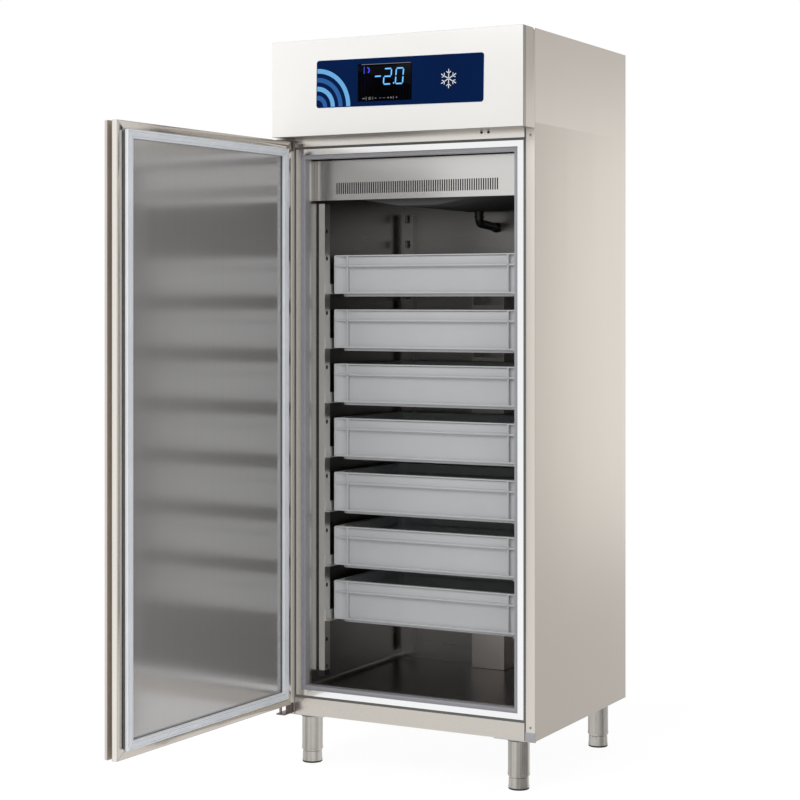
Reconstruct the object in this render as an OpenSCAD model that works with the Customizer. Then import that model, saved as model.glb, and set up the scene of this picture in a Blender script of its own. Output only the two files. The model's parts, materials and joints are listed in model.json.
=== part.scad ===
// Upright refrigerated fish cabinet with seven sliding boxes, millimetres, +Z up, front towards -Y.
// The origin lies on the floor at the centre of the four feet. The door stands open, as it rests.

/* [Cabinet] */
// Overall width of the carcass, the door and the fascia
cab_w = 788; // [760:1:820]
// Depth of the carcass from the front face to the back sheet
body_d = 660; // [640:1:700]
// Height of the carcass underside above the floor
leg_h = 141; // [120:1:160]
// Height of the top of the insulated body above the floor
deck_h = 1812; // [1600:1:1850]
// Height of the machine bay over the insulated body
bay_h = 255; // [220:1:300]
// Thickness of the steel sheet
sheet_t = 1; // [0.8:0.1:1.5]
// Thickness of the side walls between the outer face and the liner
wall_t = 62; // [60:1:66]
// Thickness of the back wall
back_wall_t = 70; // [60:1:72]
// Thickness of the floor of the insulated body
floor_t = 71; // [66:1:74]
// Thickness of the ceiling of the insulated body
ceiling_t = 72.7; // [71:0.1:76]
// Radius of the coves along the liner floor
cove_r = 12; // [6:1:16]

/* [Front frame] */
// Width of the folded return at each front edge of the side panels
stile_w = 28; // [24:1:32]
// Depth of the folded front pieces
front_fold_d = 14; // [12:1:18]
// Width of the dark seam between the steel front and the breaker frame
seam_w = 3.5; // [2:0.5:5]
// Width of the face of the breaker frame
breaker_w = 31.8; // [28:0.1:34]
// Thickness of the face of the breaker frame
breaker_t = 6; // [4:0.5:8]
// Depth of the breaker frame along the jambs
breaker_d = 38; // [30:1:44]
// How far the breaker frame stands proud of the liner walls
breaker_step = 1.3; // [1:0.1:2]
// Height of the front sill
sill_h = 47; // [40:0.5:50]

/* [Fascia] */
// How far the fascia reaches below the top of the insulated body
fascia_lap = 16; // [10:1:20]
// How far the fascia stands in front of the carcass
fascia_d = 76; // [70:1:82]
// Width of the control label
label_w = 523; // [480:1:560]
// Height of the control label
label_h = 133; // [120:1:150]
// Thickness of the control label
label_t = 0.8; // [0.6:0.1:1.2]
// Distance of the label's centre to the right of the middle
label_x = 16.5; // [-20:0.5:30]
// Height of the label's lower edge above the fascia's lower edge
label_up = 74; // [66:1:84]
// Width of the display window
window_w = 177; // [160:1:190]
// Height of the display window
window_h = 109; // [90:1:112]
// Distance of the window's centre to the left of the middle
window_x = 24.5; // [10:0.5:40]
// Distance of the fascia's pins in front of the carcass
fascia_pin_in = 12; // [11:0.5:14]
// Distance of the fascia's pins below its top
fascia_pin_down = 14; // [13:0.5:18]
// Diameter of the fascia's hinge pins
fascia_pin_d = 8; // [6:0.5:9]

/* [Door] */
// Thickness of the door without its gasket
door_t = 40; // [38:1:42]
// Gap between the door's inner face and the closed carcass front
door_gap = 14; // [13:0.5:16]
// Gap between the door's top edge and the fascia
door_top_gap = 10; // [9:0.5:12]
// Height of the door's bottom edge above the carcass underside
door_bottom_up = 33; // [31:0.5:36]
// Angle at which the door stands open
door_open = 92; // [88:0.5:100]
// Distance of the pivot from the door's hinge edge
pivot_in = 9; // [8.8:0.1:10]
// Distance of the pivot from the door's outer face
pivot_deep = 11; // [10:0.1:12]
// Diameter of the hinge pins
hinge_pin_d = 8; // [7:0.5:8.5]
// Running clearance of each pin, on the radius
pin_clearance = 0.05; // [0.03:0.01:0.08]
// Thickness of the lip in front of the handle groove
lip_t = 9.6; // [8:0.1:12]
// Width of the handle groove
groove_w = 14.6; // [12:0.1:16]
// Depth of the handle groove
groove_d = 28; // [24:1:34]
// Distance of the gasket from the door's sides
gasket_in = 28; // [26:1:30]
// Distance of the gasket from the door's top and bottom
gasket_up = 22; // [20:1:26]
// Width of the gasket
gasket_w = 22; // [18:1:26]

/* [Fish boxes] */
// Number of boxes
box_count = 7; // [1:1:7]
// Clearance between a box and the uprights
box_side_gap = 6; // [4:0.5:12]
// Clearance between a box and the rear air channel
box_rear_gap = 10; // [8:1:20]
// Height of a box from its lower rim to its top
box_h = 112.5; // [100:0.5:120]
// Height of the foot ring under a box
box_foot_h = 8; // [6:1:10]
// Distance of the foot ring from the rims
box_foot_in = 13; // [12:1:20]
// Wall thickness of a box
box_wall = 4; // [3:0.5:5]
// How far the walls lie behind the rims
box_recess = 8; // [6:1:10]
// Height of the band between the top and the middle rib
box_band_h = 33; // [28:1:38]
// Space between the evaporator tray and the first box
box_head = 137.4; // [120:0.1:160]
// Height of the last box above the liner floor
box_floor = 189.9; // [150:0.1:200]
// Distance of a box's upright ribs from its ends
box_rib_in = 44; // [36:1:50]
// Distance of the boxes behind the carcass front
box_back = 118; // [112:1:119]
// How far a box slides out
box_travel = 300; // [200:10:320]

/* [Racking] */
// Width of the front uprights
upright_w = 24; // [22:0.5:25]
// Depth of the front uprights
upright_d = 30; // [26:1:34]
// Distance of the front uprights behind the carcass front
upright_back = 75; // [68:1:78]
// Height of the front uprights above the liner floor
upright_up = 45; // [35:1:55]
// Gap between the front uprights and the diffuser panel
upright_gap = 8; // [4:1:40]
// Height of the lowest upright hole above the liner floor
hole_up = 58; // [56:1:64]
// Width of the rear uprights
rear_upright_w = 39; // [36:1:44]
// Depth of the rear uprights
rear_upright_d = 27; // [22:1:30]
// Height of a runner's web
runner_h = 29; // [24:1:32]
// Width of a runner's ledge
runner_w = 16; // [14:1:17]

/* [Air system] */
// Distance of the diffuser panel behind the carcass front
diffuser_back = 56; // [50:1:60]
// Height of the diffuser panel
diffuser_h = 114.5; // [106:0.5:116]
// Gap above the diffuser panel
diffuser_gap = 4.3; // [3:0.1:8]
// Number of slots in the diffuser panel
slot_count = 81; // [60:1:84]
// Distance from one slot to the next
slot_pitch = 6.4; // [6:0.1:7]
// Width of a slot
slot_w = 3; // [2:0.1:4]
// Height of the slots
slot_h = 32.5; // [30:0.5:40]
// Width of the rear air channel
duct_w = 108; // [90:1:120]
// Depth of the rear air channel
duct_d = 62; // [56:1:62]
// Gap between the evaporator tray and the rear air channel
duct_gap = 139; // [120:1:160]
// Distance of the evaporator tray from the liner walls
tray_gap = 42; // [36:1:48]
// Distance of the coil from the ends of the tray
coil_gap = 65; // [60:1:70]
// Diameter of the drain pipe
drain_d = 26; // [20:1:30]
// Diameter of the evaporator fan
evap_fan_d = 84; // [70:1:86]

/* [Machine bay] */
// Diameter of the compressor
compressor_d = 150; // [130:1:160]
// Width of the condenser
cond_w = 250; // [220:1:260]
// Depth of the condenser
cond_d = 70; // [50:1:80]
// Gap between the condenser and the top of the bay
cond_gap = 45; // [40:1:60]
// Distance between the rim of the condenser fan and the condenser's edge
cond_fan_in = 10; // [8:1:20]
// Width of the electrical box
ebox_w = 150; // [130:1:170]
// Depth of the electrical box
ebox_d = 90; // [80:1:100]
// Height of the electrical box
ebox_h = 110; // [90:1:130]
// Width of the condensate pan
pan_w = 230; // [200:1:240]
// Depth of the condensate pan
pan_d = 110; // [90:1:120]
// Height of the condensate pan
pan_h = 45; // [35:1:60]
// Diameter of the filter drier
drier_d = 32; // [28:1:36]

/* [Feet] */
// Distance of the feet from the sides of the cabinet
foot_side = 66; // [62:1:72]
// Distance of the rear feet in front of the back sheet
foot_back = 55.5; // [50:0.5:60]
// Distance of the front feet behind the carcass front
foot_front = 39.5; // [39:0.5:60]
// Diameter of the fixed leg tubes
leg_d = 60; // [58:1:62]
// Height of the lower end of the leg tubes above the floor
leg_low = 33; // [30:1:40]
// Diameter of the feet
foot_d = 56; // [54:1:56]
// How far a foot screws out
foot_travel = 30; // [20:1:40]

/* [Hidden] */
$fn = 64;

touch_gap = 0.3;
hw = cab_w / 2;
total_h = deck_h + bay_h;
foot_dx = cab_w - 2 * foot_side;
foot_dy = body_d - foot_front - foot_back;
front_y = -(foot_dy / 2 + foot_front);
back_y = front_y + body_d;
zone_y = front_y + front_fold_d;

liner_x = hw - wall_t;
liner_y1 = back_y - back_wall_t;
liner_z0 = leg_h + floor_t;
liner_z1 = deck_h - ceiling_t;
liner_y0 = front_y + breaker_d;

opening_x = liner_x - breaker_step;
breaker_x = opening_x + breaker_w;
stile_x = breaker_x + seam_w;
sill_z1 = leg_h + sheet_t + sill_h;
breaker_z0 = sill_z1 + seam_w;
opening_z0 = breaker_z0 + breaker_w;
opening_z1 = liner_z1 - breaker_step;
breaker_z1 = opening_z1 + breaker_w;
header_z0 = breaker_z1 + seam_w;

fascia_z0 = deck_h - fascia_lap;
fascia_h = total_h - fascia_z0;
fascia_y = front_y - fascia_d;
fascia_pin_y = front_y - fascia_pin_in;
fascia_pin_z = total_h - fascia_pin_down;
fascia_lug_t = 3;
fascia_arm_t = 3;

door_z0 = leg_h + door_bottom_up;
door_z1 = fascia_z0 - door_top_gap;
door_in_y = front_y - door_gap;
door_out_y = door_in_y - door_t;
pivot_x = -hw + pivot_in;
pivot_y = door_out_y + pivot_deep;
channel_t = 1.5;
bush_r = 7.4;
bush_l = 20;

diffuser_z1 = liner_z1 - diffuser_gap;
diffuser_z0 = diffuser_z1 - diffuser_h;
diffuser_y = front_y + diffuser_back;
tray_drop = 19.5;
tray_z0 = diffuser_z0 - tray_drop;
duct_y = liner_y1 - duct_d;
duct_top = tray_z0 - duct_gap;

upright_x = liner_x - upright_w;
upright_y = front_y + upright_back;
upright_z0 = liner_z0 + upright_up;
upright_z1 = diffuser_z0 - upright_gap;
runner_x = upright_x;
rear_upright_y = liner_y1 - rear_upright_d;
rear_upright_in = 17;
rear_upright_x = liner_x - rear_upright_in;

box_y0 = front_y + box_back;
box_w = 2 * (upright_x - box_side_gap);
box_d = duct_y - box_rear_gap - box_y0;
box_top = tray_z0 - box_head;
box_pitch = (box_top - box_h - liner_z0 - box_floor) / max(1, box_count - 1);
hole_z0 = liner_z0 + hole_up;
hole_pitch = box_pitch / 2;
rear_hole_rise = 50;
rear_hole_z0 = hole_z0 + rear_hole_rise;
foot_x = foot_dx / 2;
foot_y = foot_dy / 2;
leg_plate_t = 3;
leg_plate_gap = 8;

STEEL = [0.74, 0.72, 0.69];
INNER_STEEL = [0.5, 0.5, 0.49];
BOX_GREY = [0.72, 0.74, 0.76];
BLACK = [0.08, 0.08, 0.09];

// A block between two opposite corners
module block(a, b) {
  translate(a) cube(b - a);
}

// The same piece on the left and on the right
module both_sides() {
  for (side = [0, 1]) mirror([side, 0, 0]) children();
}

// A drawing of the XZ plane given a depth from y0 to y1
module deep(y0, y1) {
  translate([0, y1, 0]) rotate([90, 0, 0]) linear_extrude(height = y1 - y0) children();
}

// A rounded rectangle centred on a point
module soft_square(size, r) {
  inner = [size[0] - 2 * r, size[1] - 2 * r];
  union() {
    square([size[0], inner[1]], center = true);
    square([inner[0], size[1]], center = true);
    for (sx = [-1, 1], sy = [-1, 1])
      translate([sx * inner[0] / 2, sy * inner[1] / 2]) circle(r);
  }
}

// A piece of the door, drawn closed and turned to the open rest place
module door_place() {
  translate([pivot_x, pivot_y, 0]) rotate([0, 0, -door_open]) translate([-pivot_x, -pivot_y, 0])
    children();
}

// A fan rotor on an axis along Y, its middle at the origin
module fan_rotor(d, depth, blades, bore_r) {
  hub_r = d * 0.19;
  difference() {
    union() {
      rotate([90, 0, 0]) cylinder(r = hub_r, h = depth, center = true);
      for (i = [0 : blades - 1]) rotate([0, i * 360 / blades, 0])
        translate([0, 0, d * 0.33]) rotate([0, 0, 32])
          cube([1.6, depth * 1.05, d * 0.31], center = true);
    }
    rotate([90, 0, 0]) cylinder(r = bore_r, h = depth * 2, center = true);
  }
}

// A finned block: teeth on a thin spine, x0 to x1, with the fins along Y
module finned_block(x0, x1, y0, y1, z0, z1, fins) {
  pitch = (x1 - x0) / fins;
  spine = 2;
  deep(y0, y1) union() {
    translate([x0, z0]) square([x1 - x0, spine]);
    for (i = [0 : fins - 1])
      translate([x0 + i * pitch, z0]) square([pitch * 0.45, z1 - z0]);
  }
}

module side_panel() {
  color(STEEL) {
    block([hw - sheet_t, front_y, leg_h], [hw, back_y, total_h]);
    block([stile_x, front_y, leg_h], [hw - sheet_t, front_y + sheet_t, deck_h]);
    block([stile_x, front_y + sheet_t, leg_h], [stile_x + sheet_t, zone_y, deck_h]);
  }
}

module side_panel_left() {
  mirror([1, 0, 0]) side_panel();
}

module side_panel_right() {
  side_panel();
}

module back_panel() {
  color(STEEL)
    block([-hw + sheet_t, back_y - sheet_t, leg_h], [hw - sheet_t, back_y, deck_h]);
}

module base_panel() {
  color(STEEL)
    block([-hw + sheet_t, zone_y, leg_h], [hw - sheet_t, back_y - sheet_t, leg_h + sheet_t]);
}

module machine_deck() {
  color(STEEL) difference() {
    block([-hw + sheet_t, zone_y, deck_h - sheet_t], [hw - sheet_t, back_y - sheet_t, deck_h]);
    translate([pipe_hole_x, pipe_hole_y, deck_h - 10]) cylinder(d = pipe_hole_d, h = 20);
  }
}

// Front rail with the arms and pins that carry the fascia, and the rear rail
module bay_rails() {
  rail_w = 28;
  rail_top = total_h - 4;
  rail_x = hw - sheet_t;
  arm_x1 = hw - sheet_t - fascia_lug_t - 2 * touch_gap;
  arm_x0 = arm_x1 - fascia_arm_t;
  arm_r = 9;
  color(STEEL) {
    block([-rail_x, front_y + 3, rail_top - sheet_t],
          [rail_x, front_y + 3 + rail_w, rail_top]);
    block([-rail_x, front_y + 3, rail_top - rail_w],
          [rail_x, front_y + 3 + sheet_t, rail_top - sheet_t]);
    both_sides() {
      block([arm_x0, fascia_pin_y, fascia_pin_z - arm_r],
            [arm_x1, front_y + 3, fascia_pin_z + arm_r]);
      translate([arm_x0, fascia_pin_y, fascia_pin_z]) rotate([0, 90, 0])
        cylinder(r = arm_r, h = fascia_arm_t);
      translate([arm_x0, fascia_pin_y, fascia_pin_z]) rotate([0, 90, 0])
        cylinder(d = fascia_pin_d, h = rail_x - arm_x0 - touch_gap);
    }
    block([-rail_x, back_y - rail_w, rail_top - sheet_t], [rail_x, back_y, rail_top]);
    block([-rail_x, back_y - sheet_t, rail_top - rail_w],
          [rail_x, back_y, rail_top - sheet_t]);
  }
}

module insulation_foam() {
  color([0.9, 0.85, 0.65]) difference() {
    block([-hw + sheet_t, zone_y, leg_h + sheet_t],
          [hw - sheet_t, back_y - sheet_t, deck_h - sheet_t]);
    block([-liner_x - sheet_t, zone_y - 1, liner_z0 - sheet_t],
          [liner_x + sheet_t, liner_y1 + sheet_t, liner_z1 + sheet_t]);
    translate([0, liner_y1 - 1, drain_wall_z]) rotate([-90, 0, 0])
      cylinder(d = drain_d + 1, h = back_wall_t + 2);
    translate([pipe_hole_x, pipe_hole_y, liner_z1 - 1]) cylinder(d = pipe_hole_d, h = ceiling_t);
  }
}

// Outline of the cavity: square at the ceiling, coved at the floor
module cavity_outline(x, z0, z1) {
  union() {
    translate([-x, z0 + cove_r]) square([2 * x, z1 - z0 - cove_r]);
    translate([-x + cove_r, z0]) square([2 * (x - cove_r), cove_r]);
    for (s = [-1, 1]) translate([s * (x - cove_r), z0 + cove_r]) circle(cove_r);
  }
}

module inner_liner() {
  color(INNER_STEEL) difference() {
    deep(liner_y0, liner_y1 + sheet_t)
      cavity_outline(liner_x + sheet_t, liner_z0 - sheet_t, liner_z1 + sheet_t);
    deep(liner_y0 - 1, liner_y1) cavity_outline(liner_x, liner_z0, liner_z1);
    translate([0, liner_y1 - 1, drain_wall_z]) rotate([-90, 0, 0])
      cylinder(d = drain_d + 1, h = back_wall_t);
    translate([pipe_hole_x, pipe_hole_y, liner_z1 - 1]) cylinder(d = pipe_hole_d, h = ceiling_t);
  }
}

module breaker_frame() {
  sleeve_x = liner_x + sheet_t;
  groove = 2;
  color([0.93, 0.93, 0.92]) difference() {
    union() {
      block([-breaker_x, front_y, breaker_z0], [breaker_x, front_y + breaker_t, breaker_z1]);
      block([-sleeve_x, front_y + breaker_t, liner_z0 - sheet_t],
            [sleeve_x, liner_y0, liner_z1 + sheet_t]);
    }
    block([-opening_x, front_y - 1, opening_z0], [opening_x, liner_y0 + 1, opening_z1]);
    difference() {
      block([-opening_x - 11, front_y - 1, opening_z0 - 11],
            [opening_x + 11, front_y + groove, opening_z1 + 11]);
      block([-opening_x - 7.5, front_y - 2, opening_z0 - 7.5],
            [opening_x + 7.5, front_y + groove + 1, opening_z1 + 7.5]);
    }
  }
}

// A folded channel across the front, open to the back
module front_channel(z0, z1) {
  block([-breaker_x, front_y, z0], [breaker_x, front_y + sheet_t, z1]);
  for (z = [z0, z1 - sheet_t])
    block([-breaker_x, front_y + sheet_t, z], [breaker_x, zone_y, z + sheet_t]);
}

module front_header() {
  header_hole_r = 2;
  header_hole_in = 107.5;
  header_hole_gap = 21;
  color(STEEL) difference() {
    front_channel(header_z0, deck_h);
    for (i = [0, 1])
      translate([breaker_x - header_hole_in - header_hole_gap * i, front_y - 1, header_z0 + 18])
        rotate([-90, 0, 0]) cylinder(r = header_hole_r, h = sheet_t + 2);
  }
}

module front_sill() {
  color(STEEL) front_channel(leg_h, sill_z1);
}

// One front upright on the right: a channel against the liner wall with a row of holes
module front_upright() {
  hole_r = 4;
  holes = floor((upright_z1 - 12 - hole_z0) / hole_pitch);
  difference() {
    union() {
      block([upright_x, upright_y, upright_z0],
            [liner_x, upright_y + sheet_t, upright_z1]);
      block([upright_x, upright_y + sheet_t, upright_z0],
            [upright_x + sheet_t, upright_y + upright_d, upright_z1]);
      block([upright_x + sheet_t, upright_y + upright_d - sheet_t, upright_z0],
            [liner_x, upright_y + upright_d, upright_z1]);
    }
    for (i = [0 : holes])
      translate([upright_x - 1, upright_y + upright_d / 2, hole_z0 + i * hole_pitch])
        rotate([0, 90, 0]) cylinder(r = hole_r, h = sheet_t + 2);
  }
}

module front_uprights() {
  color(INNER_STEEL) both_sides() front_upright();
}

// One rear upright on the right: a hat channel on the back wall with square holes
module rear_upright() {
  hole_w = 17;
  hole_h = 24;
  z0 = liner_z0 + 21;
  z1 = tray_z0 - 2;
  holes = floor((z1 - hole_h / 2 - 1 - rear_hole_z0) / hole_pitch);
  x1 = rear_upright_x;
  x0 = x1 - rear_upright_w;
  difference() {
    union() {
      block([x0, rear_upright_y, z0], [x1, rear_upright_y + sheet_t, z1]);
      for (x = [x0, x1 - sheet_t])
        block([x, rear_upright_y + sheet_t, z0], [x + sheet_t, liner_y1, z1]);
    }
    for (i = [0 : holes])
      block([(x0 + x1 - hole_w) / 2, rear_upright_y - 1,
             rear_hole_z0 - hole_h / 2 + i * hole_pitch],
            [(x0 + x1 + hole_w) / 2, rear_upright_y + sheet_t + 1,
             rear_hole_z0 + hole_h / 2 + i * hole_pitch]);
  }
}

module rear_uprights() {
  color(INNER_STEEL) both_sides() rear_upright();
}

module upright_clips() {
  clip_h = 17;
  color(BLACK) both_sides()
    block([upright_x + 1, upright_y, upright_z0 - clip_h],
          [liner_x, upright_y + upright_d, upright_z0]);
}

// Runner for one box on the right: a web beside the box and a ledge under its lower rim
module runner(k) {
  z = box_low(k);
  tongue_w = 13;
  tongue_x = rear_upright_x - rear_upright_w / 2;
  tongue_z = nearest_hole(z);
  union() {
    block([runner_x - sheet_t, upright_y + 2, z - sheet_t],
          [runner_x, rear_upright_y, z + runner_h]);
    block([runner_x - runner_w, upright_y + 2, z - sheet_t],
          [runner_x - sheet_t, rear_upright_y, z]);
    block([tongue_x - tongue_w / 2, rear_upright_y - 6, z],
          [min(tongue_x + tongue_w / 2, runner_x), rear_upright_y, z + 3]);
    block([tongue_x - tongue_w / 2, rear_upright_y - 6, min(z, tongue_z)],
          [tongue_x + tongue_w / 2 - 8, rear_upright_y, max(z, tongue_z) + 3]);
    block([tongue_x - tongue_w / 2, rear_upright_y, tongue_z],
          [tongue_x + tongue_w / 2 - 8, rear_upright_y + 8, tongue_z + 3]);
  }
}

// Height of the lower rim of box k, and of the rear upright's hole nearest to a height
function box_low(k) = box_top - box_h - (k - 1) * box_pitch;
function nearest_hole(z) =
  rear_hole_z0 + round((z - rear_hole_z0) / hole_pitch) * hole_pitch - 1.5;

module runners_right() {
  color(INNER_STEEL) for (k = [1 : box_count]) runner(k);
}

module runners_left() {
  mirror([1, 0, 0]) runners_right();
}

// Channel on the back wall with one air outlet under each box
module rear_duct() {
  outlet_w = duct_w - 8;
  outlet_h = 26;
  lip_h = 3;
  z0 = liner_z0 + 1;
  color(INNER_STEEL) difference() {
    union() {
      block([-duct_w / 2, duct_y, z0], [duct_w / 2, duct_y + sheet_t, duct_top]);
      for (s = [-1, 1])
        block([s * duct_w / 2 - (s + 1) / 2 * sheet_t, duct_y + sheet_t, z0],
              [s * duct_w / 2 + (1 - s) / 2 * sheet_t, liner_y1, duct_top]);
      block([-duct_w / 2 + sheet_t, duct_y + sheet_t, duct_top - sheet_t],
            [duct_w / 2 - sheet_t, liner_y1, duct_top]);
      for (k = [1 : box_count])
        block([-duct_w / 2, duct_y - lip_h, outlet_z(k) - lip_h],
              [duct_w / 2, duct_y, outlet_z(k)]);
    }
    for (k = [1 : box_count])
      block([-outlet_w / 2, duct_y - 1, outlet_z(k)],
            [outlet_w / 2, duct_y + sheet_t + 1, outlet_z(k) + outlet_h]);
  }
}

function outlet_z(k) = box_low(k) - 34;

module diffuser_panel() {
  panel_x = liner_x - 0.4;
  flange = 12;
  slot_z = diffuser_z0 + 17.3;
  first = -(slot_count - 1) / 2 * slot_pitch;
  color([0.8, 0.8, 0.79]) difference() {
    union() {
      block([-panel_x, diffuser_y, diffuser_z0], [panel_x, diffuser_y + sheet_t, diffuser_z1]);
      block([-panel_x, diffuser_y + sheet_t, diffuser_z0],
            [panel_x, diffuser_y + flange, diffuser_z0 + sheet_t]);
      both_sides() block([panel_x - sheet_t, diffuser_y + sheet_t, diffuser_z0 + sheet_t],
                         [panel_x, diffuser_y + flange, diffuser_z1]);
    }
    for (i = [0 : slot_count - 1])
      block([first + i * slot_pitch - slot_w / 2, diffuser_y - 1, slot_z],
            [first + i * slot_pitch + slot_w / 2, diffuser_y + sheet_t + 1, slot_z + slot_h]);
  }
}

// Trough under the evaporator, lowest in the middle where the drain leaves it
tray_front_gap = 14;
tray_rear_gap = 4;
tray_y0 = diffuser_y + tray_front_gap;
tray_y1 = duct_y - tray_rear_gap;
tray_side_x = liner_x - tray_gap;
tray_side_z = tray_z0 + 40;
tray_rim_z = tray_z0 + 62;
module tray_line() {
  rise_x = tray_side_x - 23;
  bend_x = 128;
  flat_x = 60;
  for_side = [[flat_x, tray_z0], [bend_x, tray_z0 + 11], [rise_x, tray_z0 + 33],
              [tray_side_x, tray_side_z], [tray_side_x, tray_rim_z]];
  polygon(concat(
    for_side,
    [for (i = [len(for_side) - 1 : -1 : 0]) [-for_side[i][0], for_side[i][1]]]
  ));
}

module evaporator_tray() {
  drain_hole = drain_d - 4;
  hanger_w = 20;
  color(INNER_STEEL) difference() {
    union() {
      deep(tray_y0, tray_y1) tray_line();
      both_sides() for (y = [tray_y0, tray_y1 - hanger_w])
        block([tray_side_x - sheet_t, y, tray_side_z + sheet_t],
              [tray_side_x, y + hanger_w, liner_z1]);
    }
    translate([0, 0, sheet_t]) deep(tray_y0 + sheet_t, tray_y1 - sheet_t)
      intersection() {
        tray_line();
        translate([-tray_side_x + sheet_t, tray_z0])
          square([2 * (tray_side_x - sheet_t), tray_rim_z - tray_z0]);
      }
    translate([0, drain_y, tray_z0 - 1]) cylinder(d = drain_hole, h = 10);
  }
}

coil_back = 60;
coil_d = 120;
coil_up = 36;
coil_x = tray_side_x - coil_gap;
coil_y0 = tray_y0 + coil_back;
coil_y1 = coil_y0 + coil_d;
coil_z0 = tray_z0 + coil_up;
coil_z1 = liner_z1 - 2;
module evaporator_coil() {
  fins = 44;
  tube_r = 4.5;
  plate_t = 1.5;
  color([0.75, 0.76, 0.78]) union() {
    finned_block(-coil_x, coil_x, coil_y0, coil_y1, coil_z0, coil_z1, fins);
    both_sides() block([coil_x, coil_y0, coil_z0], [coil_x + plate_t, coil_y1, liner_z1]);
    for (y = [coil_y0 + 25 : 35 : coil_y1 - 20], z = [coil_z0 + 22, coil_z0 + 58])
      translate([-coil_x - 14, y, z]) rotate([0, 90, 0])
        cylinder(r = tube_r, h = 2 * coil_x + 28);
    for (x = [-coil_x - 14, coil_x + 14], y = [coil_y0 + 25 : 35 : coil_y1 - 20])
      translate([x, y, coil_z0 + 22]) cylinder(r = tube_r, h = 36);
  }
}

evap_fan_y = coil_y1 + 40;
evap_fan_z = (tray_z0 + liner_z1) / 2 + 12;
evap_shaft_r = 2.5;
module evaporator_fan_plate() {
  plate_x = coil_x - 25;
  color(INNER_STEEL) difference() {
    block([-plate_x, evap_fan_y - 1, tray_z0 + 30], [plate_x, evap_fan_y + 1, liner_z1]);
    translate([0, evap_fan_y - 2, evap_fan_z]) rotate([-90, 0, 0])
      cylinder(d = evap_fan_d + 6, h = 4);
  }
}

module evaporator_fan_motor() {
  motor_d = 36;
  y0 = evap_fan_y + 12;
  color([0.3, 0.3, 0.32]) {
    translate([0, y0, evap_fan_z]) rotate([-90, 0, 0]) cylinder(d = motor_d, h = 34);
    translate([0, evap_fan_y - 8, evap_fan_z]) rotate([-90, 0, 0])
      cylinder(r = evap_shaft_r, h = 22);
    block([-60, y0 + 10, evap_fan_z - 4], [60, y0 + 12, evap_fan_z + 4]);
    both_sides() block([58, evap_fan_y + 1, evap_fan_z - 4], [60, y0 + 10, evap_fan_z + 4]);
  }
}

module evaporator_fan() {
  color(BLACK) translate([0, evap_fan_y, evap_fan_z])
    fan_rotor(evap_fan_d, 14, 5, evap_shaft_r + pin_clearance);
}

drain_y = 145;
drain_drop = 38;
drain_z = tray_z0 - drain_drop;
drain_wall_z = drain_z - 9;
module drain_pipe() {
  run = back_y - drain_y - sheet_t - touch_gap;
  slope = atan2(drain_z - drain_wall_z, liner_y1 - drain_y);
  color(BLACK) difference() {
    union() {
      translate([0, drain_y, drain_z]) cylinder(d = drain_d, h = tray_z0 - drain_z);
      translate([0, drain_y, drain_z]) sphere(d = drain_d + 2);
      translate([0, drain_y, drain_z]) rotate([-90 - slope, 0, 0])
        cylinder(d = drain_d, h = liner_y1 - drain_y - 4);
      translate([0, liner_y1 - 6, drain_wall_z]) rotate([-90, 0, 0])
        cylinder(d = drain_d, h = run - (liner_y1 - drain_y) + 6);
      translate([0, liner_y1 - 6, drain_wall_z]) rotate([-90, 0, 0])
        cylinder(d = drain_d + 5, h = 6 - touch_gap);
    }
    translate([0, drain_y, drain_z - 1]) cylinder(d = drain_d - 6, h = tray_z0 - drain_z + 5);
  }
}

module foot_places() {
  for (sx = [-1, 1], sy = [-1, 1]) translate([sx * foot_x, sy * foot_y, 0]) children();
}

module leg_plates() {
  plate_x = foot_side - leg_plate_gap;
  color(STEEL) foot_places()
    block([-plate_x, -foot_front + 1, leg_h - leg_plate_t],
          [plate_x, foot_back - 1.5, leg_h]);
}

// Leg tube with a rolled lower rim and a threaded plug that carries the foot
module leg_tubes() {
  tube_wall = 1.5;
  rim_h = 5;
  plug_h = 12;
  color(STEEL) foot_places() difference() {
    union() {
      translate([0, 0, leg_low]) cylinder(d = leg_d, h = leg_h - leg_plate_t - leg_low);
      translate([0, 0, leg_low]) cylinder(d1 = leg_d - 2, d2 = leg_d + 2, h = rim_h / 2);
      translate([0, 0, leg_low + rim_h / 2])
        cylinder(d1 = leg_d + 2, d2 = leg_d, h = rim_h / 2);
    }
    translate([0, 0, leg_low - 1])
      cylinder(d = foot_stem_d + 2 * touch_gap, h = leg_h - leg_low - 4 * leg_plate_t);
    difference() {
      translate([0, 0, leg_low + plug_h])
        cylinder(d = leg_d - 2 * tube_wall, h = leg_h - leg_low - plug_h - 4 * leg_plate_t);
      translate([0, 0, leg_low + plug_h]) cylinder(d = foot_stem_d + 6, h = leg_h);
    }
  }
}

// Levelling foot: waisted steel shell, stem and rubber pad
foot_stem_d = 20;
module levelling_foot(sx, sy) {
  pad_h = 5;
  waist = 4;
  stem_up = 70;
  color(STEEL) translate([sx * foot_x, sy * foot_y, 0]) {
    translate([0, 0, pad_h]) cylinder(d1 = foot_d, d2 = foot_d - waist, h = 14);
    translate([0, 0, pad_h + 14])
      cylinder(d = foot_d - waist, h = leg_low - pad_h - 14 - touch_gap);
    translate([0, 0, leg_low - touch_gap - 1]) cylinder(d = foot_stem_d, h = stem_up);
  }
  color(BLACK) translate([sx * foot_x, sy * foot_y, 0]) cylinder(d = foot_d, h = pad_h);
}

hinge_plate_t = 4;
hinge_low_z = leg_h + 3;
hinge_high_z = door_z1 + 3;
hinge_plate_x1 = -stile_x - 1;
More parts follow.
